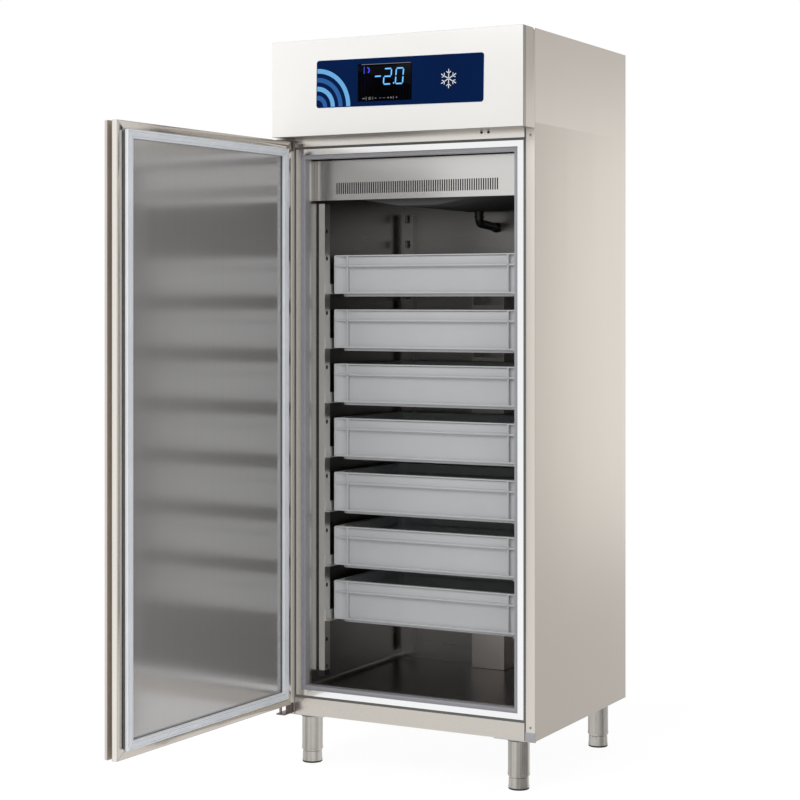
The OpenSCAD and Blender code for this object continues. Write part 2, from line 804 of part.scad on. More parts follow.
// One hinge bracket: a plate with the pin's hole, and a flange on the stile
module hinge_bracket(plate_z, flange_z0, flange_z1) {
  flange_t = 3;
  difference() {
    union() {
      block([-hw, pivot_y - pivot_in, plate_z],
            [hinge_plate_x1, front_y, plate_z + hinge_plate_t]);
      block([-hw + 3, front_y - flange_t, flange_z0], [hinge_plate_x1, front_y, flange_z1]);
    }
    translate([pivot_x, pivot_y, plate_z - 1])
      cylinder(d = hinge_pin_d, h = hinge_plate_t + 2);
  }
}

module hinge_brackets() {
  rib_t = 3;
  color([0.6, 0.58, 0.56]) {
    hinge_bracket(hinge_low_z, leg_h + 3, door_z0 - 3);
    block([hinge_plate_x1 - rib_t, pivot_y + 3, hinge_low_z + hinge_plate_t],
          [hinge_plate_x1, front_y - 3, door_z0 - 4]);
    hinge_bracket(hinge_high_z, door_z1 - 24, hinge_high_z + hinge_plate_t);
  }
}

module hinge_pins() {
  color([0.7, 0.7, 0.7]) {
    translate([pivot_x, pivot_y, hinge_low_z]) cylinder(d = hinge_pin_d, h = 47);
    translate([pivot_x, pivot_y, hinge_high_z + hinge_plate_t - 22])
      cylinder(d = hinge_pin_d, h = 22);
  }
}

// Round screw heads on the stiles and the hinge flanges
module front_screws() {
  head_r = 4;
  head_t = 1.6;
  color([0.6, 0.6, 0.6]) {
    for (z = [door_z0 - 8, door_z1 - 8]) for (x = [-hw + 13])
      translate([x, front_y - 3, z]) rotate([90, 0, 0]) cylinder(r = head_r, h = head_t);
    for (z = [door_z0 + 4, door_z1 - 8])
      translate([hw - 13, front_y, z]) rotate([90, 0, 0]) cylinder(r = head_r, h = head_t);
  }
}

// Outline of the closed door seen from above, with the handle groove at the free edge
module door_foam() {
  x1 = hw - groove_d - channel_t;
  lip_y = door_out_y + lip_t - channel_t;
  back_y1 = door_out_y + lip_t + groove_w + channel_t;
  color([0.9, 0.85, 0.65]) door_place() difference() {
    union() {
      block([-hw + sheet_t, door_out_y + sheet_t, door_z0 + sheet_t],
            [x1, door_in_y - sheet_t, door_z1 - sheet_t]);
      block([x1, door_out_y + sheet_t, door_z0 + sheet_t],
            [hw - sheet_t, lip_y, door_z1 - sheet_t]);
      block([x1, back_y1, door_z0 + sheet_t],
            [hw - sheet_t, door_in_y - sheet_t, door_z1 - sheet_t]);
    }
    bush_pockets();
  }
}

module bush_pockets() {
  for (z = [door_z0 - 1, door_z1 - bush_l])
    translate([pivot_x, pivot_y, z]) cylinder(r = bush_r + 0.1, h = bush_l + 1);
}

module door_outer_skin() {
  groove_x = hw - groove_d;
  inner_y = door_in_y - sheet_t;
  color(STEEL) door_place() difference() {
    union() {
      block([-hw, door_out_y, door_z0], [hw, door_out_y + sheet_t, door_z1]);
      block([-hw, door_out_y + sheet_t, door_z0], [-hw + sheet_t, inner_y, door_z1]);
      block([hw - sheet_t, door_out_y + sheet_t, door_z0],
            [hw, door_out_y + lip_t - channel_t, door_z1]);
      for (z = [door_z0, door_z1 - sheet_t]) {
        block([-hw + sheet_t, door_out_y + sheet_t, z],
              [groove_x - channel_t, inner_y, z + sheet_t]);
        block([groove_x - channel_t, door_out_y + sheet_t, z],
              [hw - sheet_t, door_out_y + lip_t - channel_t, z + sheet_t]);
        block([groove_x - channel_t, door_out_y + lip_t + groove_w + channel_t, z],
              [hw - sheet_t, inner_y, z + sheet_t]);
      }
    }
    bush_pockets();
  }
}

module door_inner_pan() {
  end_y = door_out_y + lip_t + groove_w + channel_t;
  color(INNER_STEEL) door_place() union() {
    block([-hw, door_in_y - sheet_t, door_z0], [hw, door_in_y, door_z1]);
    block([hw - sheet_t, end_y, door_z0], [hw, door_in_y - sheet_t, door_z1]);
  }
}

module door_handle_channel() {
  y0 = door_out_y + lip_t - channel_t;
  y1 = y0 + groove_w + 2 * channel_t;
  x0 = hw - groove_d - channel_t;
  color([0.35, 0.3, 0.27]) door_place() difference() {
    block([x0, y0, door_z0], [hw, y1, door_z1]);
    block([x0 + channel_t, y0 + channel_t, door_z0 - 1], [hw + 1, y1 - channel_t, door_z1 + 1]);
  }
}

module door_gasket() {
  t = door_gap - touch_gap;
  y0 = door_in_y;
  color([0.62, 0.64, 0.68]) door_place() difference() {
    block([-hw + gasket_in, y0, door_z0 + gasket_up], [hw - gasket_in, y0 + t, door_z1 - gasket_up]);
    block([-hw + gasket_in + gasket_w, y0 - 1, door_z0 + gasket_up + gasket_w],
          [hw - gasket_in - gasket_w, y0 + t + 1, door_z1 - gasket_up - gasket_w]);
  }
}

module door_hinge_bushes() {
  color([0.85, 0.85, 0.85]) door_place() for (z = [door_z0, door_z1 - bush_l])
    translate([pivot_x, pivot_y, z]) difference() {
      cylinder(r = bush_r, h = bush_l);
      translate([0, 0, -1]) cylinder(r = hinge_pin_d / 2 + pin_clearance, h = bush_l + 2);
    }
}

// One stacking box with rims, ribs, corner posts and a foot ring
module fish_box(k) {
  z0 = box_low(k);
  rim_h = 7;
  rib_t = 5;
  rib_x = box_w / 2 - box_rib_in;
  post = 6;
  corner_r = 30;
  mid = [0, box_y0 + box_d / 2];
  outer = [box_w, box_d];
  wall = [box_w - 2 * box_recess, box_d - 2 * box_recess];
  hollow = [wall[0] - 2 * box_wall, wall[1] - 2 * box_wall];
  foot = [box_w - 2 * box_foot_in, box_d - 2 * box_foot_in];
  color(BOX_GREY) translate([mid[0], mid[1], z0]) difference() {
    union() {
      linear_extrude(height = box_h) soft_square(wall, corner_r);
      for (z = [0, box_h - box_band_h, box_h - rim_h])
        translate([0, 0, z]) linear_extrude(height = z > 0 && z < box_h - rim_h ? rib_t : rim_h)
          soft_square(outer, 4);
      for (sx = [-1, 1], sy = [-1, 1]) {
        translate([sx * (box_w - post) / 2 - post / 2, sy * (box_d - post) / 2 - post / 2, 2])
          cube([post, post, box_h - 4]);
        translate([sx * rib_x - rib_t / 2, sy * (box_d / 2 - box_recess / 2) - box_recess / 2, 2])
          cube([rib_t, box_recess, box_h - 4]);
      }
      translate([0, 0, -box_foot_h]) linear_extrude(height = box_foot_h + 1)
        difference() {
          soft_square(foot, corner_r);
          soft_square([foot[0] - 24, foot[1] - 24], corner_r - 12);
        }
    }
    translate([0, 0, box_wall + 2]) linear_extrude(height = box_h)
      soft_square(hollow, corner_r - box_wall);
  }
}

// Fascia: a folded front with side, bottom and top returns, open to the back
module fascia_panel() {
  rear_y = front_y - 0.5;
  corner_r = rear_y - fascia_pin_y;
  hole_w = window_w - 30;
  hole_h = window_h - 26;
  color([0.95, 0.95, 0.94]) difference() {
    union() {
      block([-hw, fascia_y, fascia_z0], [hw, fascia_y + sheet_t, total_h]);
      both_sides() translate([hw - sheet_t, 0, 0]) rotate([90, 0, 90])
        linear_extrude(height = sheet_t) union() {
          translate([fascia_y + sheet_t, fascia_z0])
            square([fascia_pin_y - fascia_y - sheet_t, fascia_h]);
          translate([fascia_pin_y, fascia_z0])
            square([corner_r, fascia_pin_z - fascia_z0]);
          translate([fascia_pin_y, fascia_pin_z]) circle(corner_r);
        }
      block([-hw + sheet_t, fascia_y + sheet_t, fascia_z0],
            [hw - sheet_t, rear_y, fascia_z0 + sheet_t]);
      block([-hw + sheet_t, fascia_y + sheet_t, total_h - sheet_t],
            [hw - sheet_t, fascia_pin_y - 1, total_h]);
    }
    block([-window_x - hole_w / 2, fascia_y - 1, window_z - hole_h / 2],
          [-window_x + hole_w / 2, fascia_y + sheet_t + 1, window_z + hole_h / 2]);
    both_sides() translate([hw - sheet_t - 1, fascia_pin_y, fascia_pin_z]) rotate([0, 90, 0])
      cylinder(r = fascia_pin_d / 2 + 1, h = sheet_t + 2);
  }
}

// Lugs inside the fascia's sides, bored for the pins
module fascia_lugs() {
  lug_x = hw - sheet_t - fascia_lug_t;
  r = 10;
  foot_z = fascia_pin_z - 30;
  color(STEEL) both_sides() translate([lug_x, 0, 0]) rotate([90, 0, 90])
    linear_extrude(height = fascia_lug_t) difference() {
      union() {
        translate([fascia_pin_y, fascia_pin_z]) circle(r);
        translate([fascia_pin_y - 16, foot_z]) square([26, fascia_pin_z - foot_z]);
      }
      translate([fascia_pin_y, fascia_pin_z]) circle(fascia_pin_d / 2 + pin_clearance);
    }
}

label_z = fascia_z0 + label_up + label_h / 2;
window_z = label_z + 1;
module control_label() {
  corner_r = 8;
  color([0, 0.1, 0.3]) deep(fascia_y - label_t, fascia_y) difference() {
    translate([label_x, label_z]) soft_square([label_w, label_h], corner_r);
    translate([-window_x - window_w / 2, window_z - window_h / 2]) square([window_w, window_h]);
  }
}

module display_window() {
  color([0.02, 0.02, 0.05]) deep(fascia_y - label_t, fascia_y)
    translate([-window_x - window_w / 2, window_z - window_h / 2]) square([window_w, window_h]);
}

module controller() {
  body = [window_w - 20, 44, window_h - 18];
  neck = [window_w - 34, window_h - 30];
  y0 = fascia_y + sheet_t;
  color(BLACK) union() {
    translate([-window_x - body[0] / 2, y0, window_z - body[2] / 2]) cube(body);
    translate([-window_x - neck[0] / 2, fascia_y + 0.1, window_z - neck[1] / 2])
      cube([neck[0], 2 * sheet_t, neck[1]]);
  }
}

bay_mid_y = (front_y + back_y) / 2;
compressor_x = -150;
compressor_y = bay_mid_y + 60;
module compressor() {
  body_h = 130;
  r = compressor_d / 2;
  base_z = deck_h + 12;
  color(BLACK) {
    translate([compressor_x, compressor_y, base_z]) {
      cylinder(r = r, h = body_h - 40);
      intersection() {
        translate([0, 0, body_h - 40]) sphere(r = r);
        cylinder(r = r, h = body_h + 10);
      }
    }
    for (x = [-r + 5, r - 30]) translate([compressor_x + x, compressor_y - r - 10, deck_h + 8])
      cube([25, 2 * r + 20, 4]);
    for (sx = [-1, 1], sy = [-1, 1])
      translate([compressor_x + sx * (r - 17), compressor_y + sy * r, deck_h])
        cylinder(d = 18, h = 8);
  }
}

cond_side_gap = 79;
cond_x = hw - cond_side_gap - cond_w / 2;
cond_y0 = front_y + 40;
cond_h = bay_h - cond_gap;
cond_z0 = deck_h + 8;
cond_fan_d = cond_h - 2 * cond_fan_in;
cond_rows = 6;
cond_tube_r = 4.5;
cond_end = 12;
cond_row_z = cond_z0 + 22;
cond_row_pitch = (cond_h - 45) / (cond_rows - 1);
module condenser_coil() {
  fins = 36;
  color([0.25, 0.25, 0.27]) union() {
    finned_block(cond_x - cond_w / 2, cond_x + cond_w / 2, cond_y0, cond_y0 + cond_d,
                 cond_z0, cond_z0 + cond_h, fins);
    for (x = [cond_x - cond_w / 2 - 1.5, cond_x + cond_w / 2])
      block([x, cond_y0, deck_h], [x + 1.5, cond_y0 + cond_d, cond_z0 + cond_h]);
    for (i = [0 : cond_rows - 1])
      translate([cond_x - cond_w / 2 - cond_end, cond_y0 + cond_d / 2,
                 cond_row_z + i * cond_row_pitch])
        rotate([0, 90, 0]) cylinder(r = cond_tube_r, h = cond_w + 2 * cond_end);
    for (i = [0 : cond_rows - 2])
      translate([cond_x + (i % 2 == 0 ? 1 : -1) * (cond_w / 2 + cond_end),
                 cond_y0 + cond_d / 2, cond_row_z + i * cond_row_pitch])
        cylinder(r = cond_tube_r, h = cond_row_pitch);
  }
}

cond_fan_y = cond_y0 + cond_d + 34;
cond_fan_z = cond_z0 + cond_h / 2;
cond_shaft_r = 4;
module condenser_shroud() {
  ring_t = 2;
  plate_y = cond_fan_y;
  half = cond_w / 2 + 1.5;
  color(STEEL) union() {
    difference() {
      block([cond_x - half, plate_y - 1, deck_h], [cond_x + half, plate_y + 1, cond_z0 + cond_h]);
      translate([cond_x, plate_y - 2, cond_fan_z]) rotate([-90, 0, 0])
        cylinder(d = cond_fan_d + 8, h = 4);
    }
    for (x = [cond_x - half, cond_x + half - ring_t])
      block([x, cond_y0 + cond_d, deck_h], [x + ring_t, plate_y - 1, cond_z0 + cond_h]);
    block([cond_x - half + ring_t, cond_y0 + cond_d, cond_z0 + cond_h - ring_t],
          [cond_x + half - ring_t, plate_y - 1, cond_z0 + cond_h]);
  }
}

module condenser_fan_motor() {
  motor_d = 84;
  y0 = cond_fan_y + 18;
  color([0.3, 0.3, 0.32]) union() {
    translate([cond_x, y0, cond_fan_z]) rotate([-90, 0, 0]) cylinder(d = motor_d, h = 60);
    translate([cond_x, cond_fan_y - 12, cond_fan_z]) rotate([-90, 0, 0])
      cylinder(r = cond_shaft_r, h = 32);
    block([cond_x - 30, y0 + 20, deck_h], [cond_x + 30, y0 + 24, cond_fan_z]);
    block([cond_x - 30, y0 + 24, deck_h], [cond_x + 30, y0 + 60, deck_h + 3]);
  }
}

module condenser_fan() {
  color([0.2, 0.2, 0.22]) translate([cond_x, cond_fan_y, cond_fan_z])
    fan_rotor(cond_fan_d, 22, 5, cond_shaft_r + pin_clearance);
}

pipe_hole_out = 37;
pipe_hole_x = -coil_x - pipe_hole_out;
pipe_hole_y = -60;
pipe_hole_d = 40;
// Tubes through a row of points, with a slightly thicker ball at each bend
module tube_run(a, b, r) {
  v = b - a;
  length = norm(v);
  translate(a) rotate([0, acos(v[2] / length), atan2(v[1], v[0])]) cylinder(r = r, h = length);
}

module pipe_path(points, r) {
  union() {
    for (i = [0 : len(points) - 2]) tube_run(points[i], points[i + 1], r);
    for (i = [1 : len(points) - 2]) translate(points[i]) sphere(r = r + 0.8);
  }
}

// Discharge, liquid and suction lines between compressor, condenser, drier and evaporator
module refrigerant_pipes() {
  top = cond_row_z + (cond_rows - 1) * cond_row_pitch - 35;
  cond_left = cond_x - cond_w / 2 - cond_end;
  cond_mid_y = cond_y0 + cond_d / 2;
  cond_top_z = cond_row_z + (cond_rows - 1) * cond_row_pitch;
  coil_left = [-coil_x - 14, coil_y0 + 25, coil_z0 + 58];
  color([0.72, 0.45, 0.25]) {
    pipe_path([
      [compressor_x + 70, compressor_y - 20, deck_h + 60],
      [compressor_x + 100, compressor_y - 20, deck_h + 60],
      [compressor_x + 100, compressor_y - 20, top],
      [cond_left - 18, cond_mid_y, top],
      [cond_left - 18, cond_mid_y, cond_top_z],
      [cond_left, cond_mid_y, cond_top_z]
    ], 3.5);
    pipe_path([
      [compressor_x - 70, compressor_y - 20, deck_h + 50],
      [pipe_hole_x - 8, compressor_y - 20, deck_h + 50],
      [pipe_hole_x - 8, pipe_hole_y, deck_h + 50],
      [pipe_hole_x - 8, pipe_hole_y, coil_left[2]],
      [pipe_hole_x - 8, coil_left[1], coil_left[2]],
      [coil_left[0] - 4.5 - touch_gap, coil_left[1], coil_left[2]]
    ], 4.5);
    pipe_path([
      [drier_x - drier_half, drier_y, drier_z],
      [pipe_hole_x + 8, drier_y, drier_z],
      [pipe_hole_x + 8, pipe_hole_y, drier_z],
      [pipe_hole_x + 8, pipe_hole_y, coil_z0 + 22],
      [pipe_hole_x + 8, coil_y0 + 60, coil_z0 + 22],
      [coil_left[0] - 4.5 - touch_gap, coil_y0 + 60, coil_z0 + 22]
    ], 2.5);
    pipe_path([
      [cond_left, cond_mid_y, cond_row_z],
      [cond_left - 28, cond_mid_y, cond_row_z],
      [cond_left - 28, drier_y, drier_z],
      [drier_x + drier_half, drier_y, drier_z]
    ], 3);
  }
}

drier_x = -80;
drier_y = front_y + 130;
drier_z = deck_h + 30;
drier_body = 90;
drier_neck = 17;
drier_half = drier_body / 2 + drier_neck;
module filter_drier() {
  neck_d = 8;
  saddle_x = 10;
  saddle_y = 18;
  color([0.75, 0.5, 0.3]) translate([drier_x, drier_y, drier_z]) rotate([0, 90, 0]) union() {
    translate([0, 0, -drier_body / 2]) cylinder(d = drier_d, h = drier_body);
    translate([0, 0, -drier_half]) cylinder(d1 = neck_d, d2 = drier_d, h = drier_neck);
    translate([0, 0, drier_body / 2]) cylinder(d1 = drier_d, d2 = neck_d, h = drier_neck);
  }
  color([0.3, 0.3, 0.3]) block([drier_x - saddle_x, drier_y - saddle_y, deck_h],
                               [drier_x + saddle_x, drier_y + saddle_y,
                                drier_z - drier_d / 2]);
}

// Electrical box at the back of the bay, with the gland of the supply lead
module electrical_box() {
  size = [ebox_w, ebox_d, ebox_h];
  x0 = 60;
  y1 = back_y - 60;
  color([0.6, 0.6, 0.6]) union() {
    translate([x0, y1 - size[1], deck_h]) cube(size);
    translate([x0 - 2, y1 - size[1] - 2, deck_h + size[2]]) cube([size[0] + 4, size[1] + 4, 8]);
    translate([x0 + 110, y1 - 1, deck_h + 40]) rotate([-90, 0, 0]) cylinder(d = 22, h = 19);
    translate([x0 + 110, y1 + 18, deck_h + 40]) rotate([-90, 0, 0]) cylinder(d = 15, h = 8);
  }
}

module condensate_pan() {
  size = [pan_w, pan_d, pan_h];
  wall = 2;
  x0 = -hw + foot_side - 2;
  y1 = back_y - 30;
  color([0.65, 0.65, 0.64]) translate([x0, y1 - size[1], deck_h]) difference() {
    cube(size);
    translate([wall, wall, wall]) cube([size[0] - 2 * wall, size[1] - 2 * wall, size[2]]);
  }
}

side_panel_left();
side_panel_right();
back_panel();
base_panel();
machine_deck();
bay_rails();
insulation_foam();
inner_liner();
breaker_frame();
front_header();
front_sill();
front_uprights();
rear_uprights();
upright_clips();
runners_left();
runners_right();
rear_duct();
diffuser_panel();
evaporator_tray();
evaporator_coil();
evaporator_fan_plate();
evaporator_fan_motor();
evaporator_fan();
drain_pipe();
leg_plates();
leg_tubes();
levelling_foot(-1, -1);  // foot_front_left
levelling_foot(1, -1);  // foot_front_right
levelling_foot(-1, 1);  // foot_back_left
levelling_foot(1, 1);  // foot_back_right
hinge_brackets();
hinge_pins();
front_screws();
door_outer_skin();
door_foam();
door_inner_pan();
door_gasket();
door_handle_channel();
door_hinge_bushes();
fish_box(1);  // fish_box_1
fish_box(2);  // fish_box_2
fish_box(3);  // fish_box_3
fish_box(4);  // fish_box_4
fish_box(5);  // fish_box_5
fish_box(6);  // fish_box_6
fish_box(7);  // fish_box_7
fascia_panel();
fascia_lugs();
control_label();
display_window();
controller();
compressor();
condenser_coil();
condenser_shroud();
condenser_fan_motor();
condenser_fan();
refrigerant_pipes();
electrical_box();
filter_drier();
condensate_pan();
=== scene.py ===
"""Looks of a refrigerated fish cabinet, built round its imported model, in metres."""

import json
import math

import bmesh
import bpy
from bpy.props import FloatProperty, FloatVectorProperty, IntProperty, PointerProperty
from mathutils import Matrix, Vector


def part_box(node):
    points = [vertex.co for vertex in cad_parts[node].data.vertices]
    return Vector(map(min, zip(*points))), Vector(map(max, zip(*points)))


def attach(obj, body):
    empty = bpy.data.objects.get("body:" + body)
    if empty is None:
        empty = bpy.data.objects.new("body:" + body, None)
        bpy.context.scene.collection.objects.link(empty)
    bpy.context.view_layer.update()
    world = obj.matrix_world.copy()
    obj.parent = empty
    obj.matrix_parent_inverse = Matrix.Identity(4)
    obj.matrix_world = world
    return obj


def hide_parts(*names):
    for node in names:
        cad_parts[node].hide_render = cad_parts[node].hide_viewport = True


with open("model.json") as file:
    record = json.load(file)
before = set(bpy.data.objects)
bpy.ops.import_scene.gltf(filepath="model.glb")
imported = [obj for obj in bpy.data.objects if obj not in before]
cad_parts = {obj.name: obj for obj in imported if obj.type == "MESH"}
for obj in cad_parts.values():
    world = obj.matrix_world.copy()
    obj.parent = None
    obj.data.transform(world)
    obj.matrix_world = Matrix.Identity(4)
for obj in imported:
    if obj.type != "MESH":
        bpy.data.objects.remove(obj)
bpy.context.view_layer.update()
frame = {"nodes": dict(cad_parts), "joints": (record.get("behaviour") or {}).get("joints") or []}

bl_info = {
    "name": "Refrigerated fish cabinet",
    "version": (1, 0, 0),
    "blender": (4, 5, 0),
    "location": "View3D > Sidebar > Fish cabinet",
    "description": "Dresses the packed model of a refrigerated fish cabinet",
    "category": "Object",
}

MM = 0.001
SHEET = 1 * MM
HAIR = 0.1 * MM
BOX_NODES = ["fish_box_%d" % number for number in range(1, 8)]
FOOT_NODES = ["foot_front_left", "foot_front_right", "foot_back_left", "foot_back_right"]

STILE, FRONT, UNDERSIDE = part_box("side_panel_right")[0]
HALF_WIDTH, BACK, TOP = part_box("side_panel_right")[1]
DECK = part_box("machine_deck")[1].z
FOLD_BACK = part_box("front_header")[1].y

# The door is drawn closed and turned to the place where it stands open
DOOR_OPEN = math.radians(92)
DOOR_HINGE = [joint for joint in frame["joints"] if joint["name"] == "door_hinge"][0]
DOOR_PIVOT = Vector(DOOR_HINGE["pos_m"][:2] + [0])
DOOR_PLACE = (
    Matrix.Translation(DOOR_PIVOT)
    @ Matrix.Rotation(-DOOR_OPEN, 4, "Z")
    @ Matrix.Translation(-DOOR_PIVOT)
)
DOOR_OUTER = DOOR_PIVOT.y - 11 * MM
DOOR_INNER = DOOR_OUTER + 40 * MM
DOOR_LOW, DOOR_HIGH = (corner.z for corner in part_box("door_outer_skin"))
GROOVE_WALL = 1.5 * MM
GROOVE_FRONT = DOOR_OUTER + 9.6 * MM - GROOVE_WALL
GROOVE_BACK = GROOVE_FRONT + 14.6 * MM + 2 * GROOVE_WALL
GROOVE_BOTTOM = HALF_WIDTH - 28 * MM - GROOVE_WALL

# The camera stands where the photograph was taken
CAMERA_PLACE = (2.5058, -5.0117, 1.3321)
CAMERA_HEADING = math.radians(28.2995)
CAMERA_SHIFT = -0.12464


class Channel:
    """A value in a material. Sums and products of such values add Math nodes."""

    def __init__(self, finish, socket):
        self.finish = finish
        self.socket = socket

    def math(self, operation, *values):
        return self.finish.node("ShaderNodeMath", {"operation": operation}, dict(enumerate(values)))

    def __add__(self, other):
        return self.math("ADD", self, other)

    def __sub__(self, other):
        return self.math("SUBTRACT", self, other)

    def __rsub__(self, other):
        return self.math("SUBTRACT", other, self)

    def __mul__(self, other):
        return self.math("MULTIPLY", self, other)

    def __truediv__(self, other):
        return self.math("DIVIDE", self, other)

    def __rtruediv__(self, other):
        return self.math("DIVIDE", other, self)

    __radd__ = __add__
    __rmul__ = __mul__

    def ramp(self, low, high):
        """This value spread over 0 to 1 between low and high."""
        sockets = {"Value": self, "From Min": low, "From Max": high}
        return self.finish.node("ShaderNodeMapRange", {"clamp": True}, sockets)


class Finish:
    """A material, or the world, made of nodes."""

    def __init__(self, name, world=None):
        if world is None:
            self.material = bpy.data.materials.new(name)
        holder = world or self.material
        holder.use_nodes = True
        self.tree = holder.node_tree
        self.tree.nodes.clear()
        self.target = "ShaderNodeOutputWorld" if world else "ShaderNodeOutputMaterial"

    def node(self, kind, settings=None, sockets=None, output=0):
        made = self.tree.nodes.new(kind)
        for key, value in (settings or {}).items():
            setattr(made, key, value)
        for key, value in (sockets or {}).items():
            target = made.inputs[key]
            if isinstance(value, Channel):
                self.tree.links.new(value.socket, target)
            elif isinstance(value, tuple) and target.type == "RGBA":
                target.default_value = (*value, 1.0)
            else:
                target.default_value = value
        return Channel(self, made.outputs[output])

    def place(self, stretch=(1, 1, 1)):
        """Object coordinates in metres, scaled."""
        here = self.node("ShaderNodeTexCoord", output="Object")
        return self.node("ShaderNodeMapping", None, {"Vector": here, "Scale": stretch})

    def noise(self, scale, detail, roughness, stretch=(1, 1, 1)):
        sockets = {"Scale": scale, "Detail": detail, "Roughness": roughness}
        sockets["Vector"] = self.place(stretch)
        return self.node("ShaderNodeTexNoise", None, sockets)

    def cells(self, scale, output="Distance"):
        sockets = {"Vector": self.place(), "Scale": scale}
        return self.node("ShaderNodeTexVoronoi", None, sockets, output)

    def blend(self, factor, first, second):
        sockets = {0: factor, 6: first, 7: second}
        return self.node("ShaderNodeMix", {"data_type": "RGBA"}, sockets, output=2)

    def shades(self, factor, colour, spread):
        """The colour, darker and lighter by the share spread as factor goes from 0 to 1."""
        dark = tuple(max(0.0, part * (1 - spread)) for part in colour)
        light = tuple(min(1.0, part * (1 + spread)) for part in colour)
        return self.blend(factor, dark, light)

    def bump(self, height, distance, strength=1.0):
        sockets = {"Height": height, "Distance": distance, "Strength": strength}
        return self.node("ShaderNodeBump", None, sockets)

    def surface(self, colour, roughness, normal, **others):
        """The finished material. Other sockets are named with underscores for spaces."""
        sockets = {"Base Color": colour, "Roughness": roughness}
        if normal:
            sockets["Normal"] = normal
        sockets.update({key.replace("_", " "): value for key, value in others.items()})
        self.end(self.node("ShaderNodeBsdfPrincipled", None, sockets))
        return self.material

    def end(self, shader):
        end = self.tree.nodes.new(self.target)
        self.tree.links.new(shader.socket, end.inputs["Surface"])


def brushed_steel(name, colour, roughness, grain, streak=0.03, cloud=0.03, relief=0.00002,
                  shine=1.0, dish=None):
    """Satin sheet: a long fine grain, soft clouding, a few faint rubs and perhaps a slight dish."""
    finish = Finish(name)
    fine = finish.noise(1.0, 4.0, 0.65, grain)
    broad = finish.noise(1.0, 3.0, 0.5, (1.6, 1.6, 0.9))
    rubs = finish.noise(1.0, 2.0, 0.6, tuple(part * 0.12 for part in grain))
    shade = fine * streak + broad * cloud + rubs * (cloud * 0.6)
    shade = shade / (streak + cloud * 1.6)
    uneven = min(0.10, streak * 3)
    rough = roughness + (fine - 0.5) * uneven + (rubs - 0.5) * (uneven * 0.8)
    height = fine * (relief * 0.6)
    if dish:
        start, depth = dish
        here = finish.node("ShaderNodeSeparateXYZ", None, {"Vector": finish.place()}, output="Y")
        height = height + (here - start) * (here - start) * depth
    return finish.surface(
        finish.shades(shade.ramp(0.35, 0.65), colour, (streak + cloud) / 2),
        rough.ramp(0.0, 1.0), finish.bump(height, 1.0), Metallic=shine,
    )


def tube_with_painted_reflections(name, dark, light):
    """Polished tube with broad bright and dark bands of painted reflection along it, finer streaks
    and fine marks of wear.
    """
    finish = Finish(name)
    band = finish.noise(1.0, 1.5, 0.5, (42, 42, 0.5))
    line = finish.noise(1.0, 2.0, 0.5, (260, 260, 2.0))
    wear = finish.noise(1.0, 3.0, 0.6, (90, 90, 40))
    # The broad bands are painted reflections of the surroundings; the wear is the tube's own.
    shade = band.ramp(0.40, 0.60) * 0.8 + line.ramp(0.35, 0.65) * 0.2 + (wear - 0.5) * 0.3
    return finish.surface(
        finish.blend(shade.ramp(0.0, 1.0), dark, light), 0.24 + (wear - 0.5) * 0.2,
        finish.bump(wear, 0.00004, 0.6), Metallic=1.0,
    )


def moulded_plastic(name, colour, roughness, spread=0.04, grit=900.0, gloss=0.5):
    """Injection-moulded plastic: a fine grit, slight clouding and duller patches."""
    finish = Finish(name)
    grain = finish.noise(grit, 2.0, 0.6)
    cloud = finish.noise(4.0, 3.0, 0.55)
    dull = finish.noise(23.0, 3.0, 0.6)
    return finish.surface(
        finish.shades(cloud.ramp(0.3, 0.7), colour, spread),
        roughness + (dull - 0.5) * 0.12 + (grain - 0.5) * 0.05,
        finish.bump(grain, 0.00003, 0.5), Specular_IOR_Level=gloss,
    )


def sprayed_paint(name, colour, roughness, coat=0.2, spread=0.015):
    """Baked paint with a faint orange peel."""
    finish = Finish(name)
    peel = finish.noise(320.0, 2.0, 0.5)
    cloud = finish.noise(3.0, 3.0, 0.5)
    return finish.surface(
        finish.shades(cloud.ramp(0.3, 0.7), colour, spread), roughness + (cloud - 0.5) * 0.08,
        finish.bump(peel, 0.00004, 0.4), Coat_Weight=coat, Coat_Roughness=0.15,
    )


def zinc_sheet(name, colour):
    """Zinc-coated sheet with its crystals."""
    finish = Finish(name)
    flakes = finish.cells(95.0, "Color")
    grey = finish.node("ShaderNodeSeparateColor", None, {"Color": flakes})
    cloud = finish.noise(6.0, 3.0, 0.5)
    return finish.surface(
        finish.shades(grey * 0.6 + cloud * 0.4, colour, 0.16), 0.38 + grey * 0.2,
        finish.bump(grey, 0.00002, 0.4), Metallic=0.9,
    )


def soft_rubber(name, colour, roughness):
    """Extruded seal with a dusty bloom and fine specks."""
    finish = Finish(name)
    bloom = finish.noise(9.0, 4.0, 0.6)
    speck = finish.noise(400.0, 2.0, 0.6)
    return finish.surface(
        finish.shades(bloom.ramp(0.3, 0.7), colour, 0.04), roughness + (bloom - 0.5) * 0.08,
        finish.bump(speck, 0.00003, 0.4), Specular_IOR_Level=0.4,
    )


def drawn_metal(name, colour, roughness, tarnish):
    """Drawn tube or stamped metal with patches of tarnish."""
    finish = Finish(name)
    patch = finish.noise(28.0, 4.0, 0.6)
    scratch = finish.noise(1.0, 2.0, 0.5, (60, 60, 900))
    mask = patch.ramp(0.5, 0.72)
    return finish.surface(
        finish.blend(mask * 0.6, finish.shades(scratch, colour, 0.10), tarnish),
        roughness + mask * 0.2 + (scratch - 0.5) * 0.1, finish.bump(scratch, 0.00002, 0.4),
        Metallic=1.0,
    )


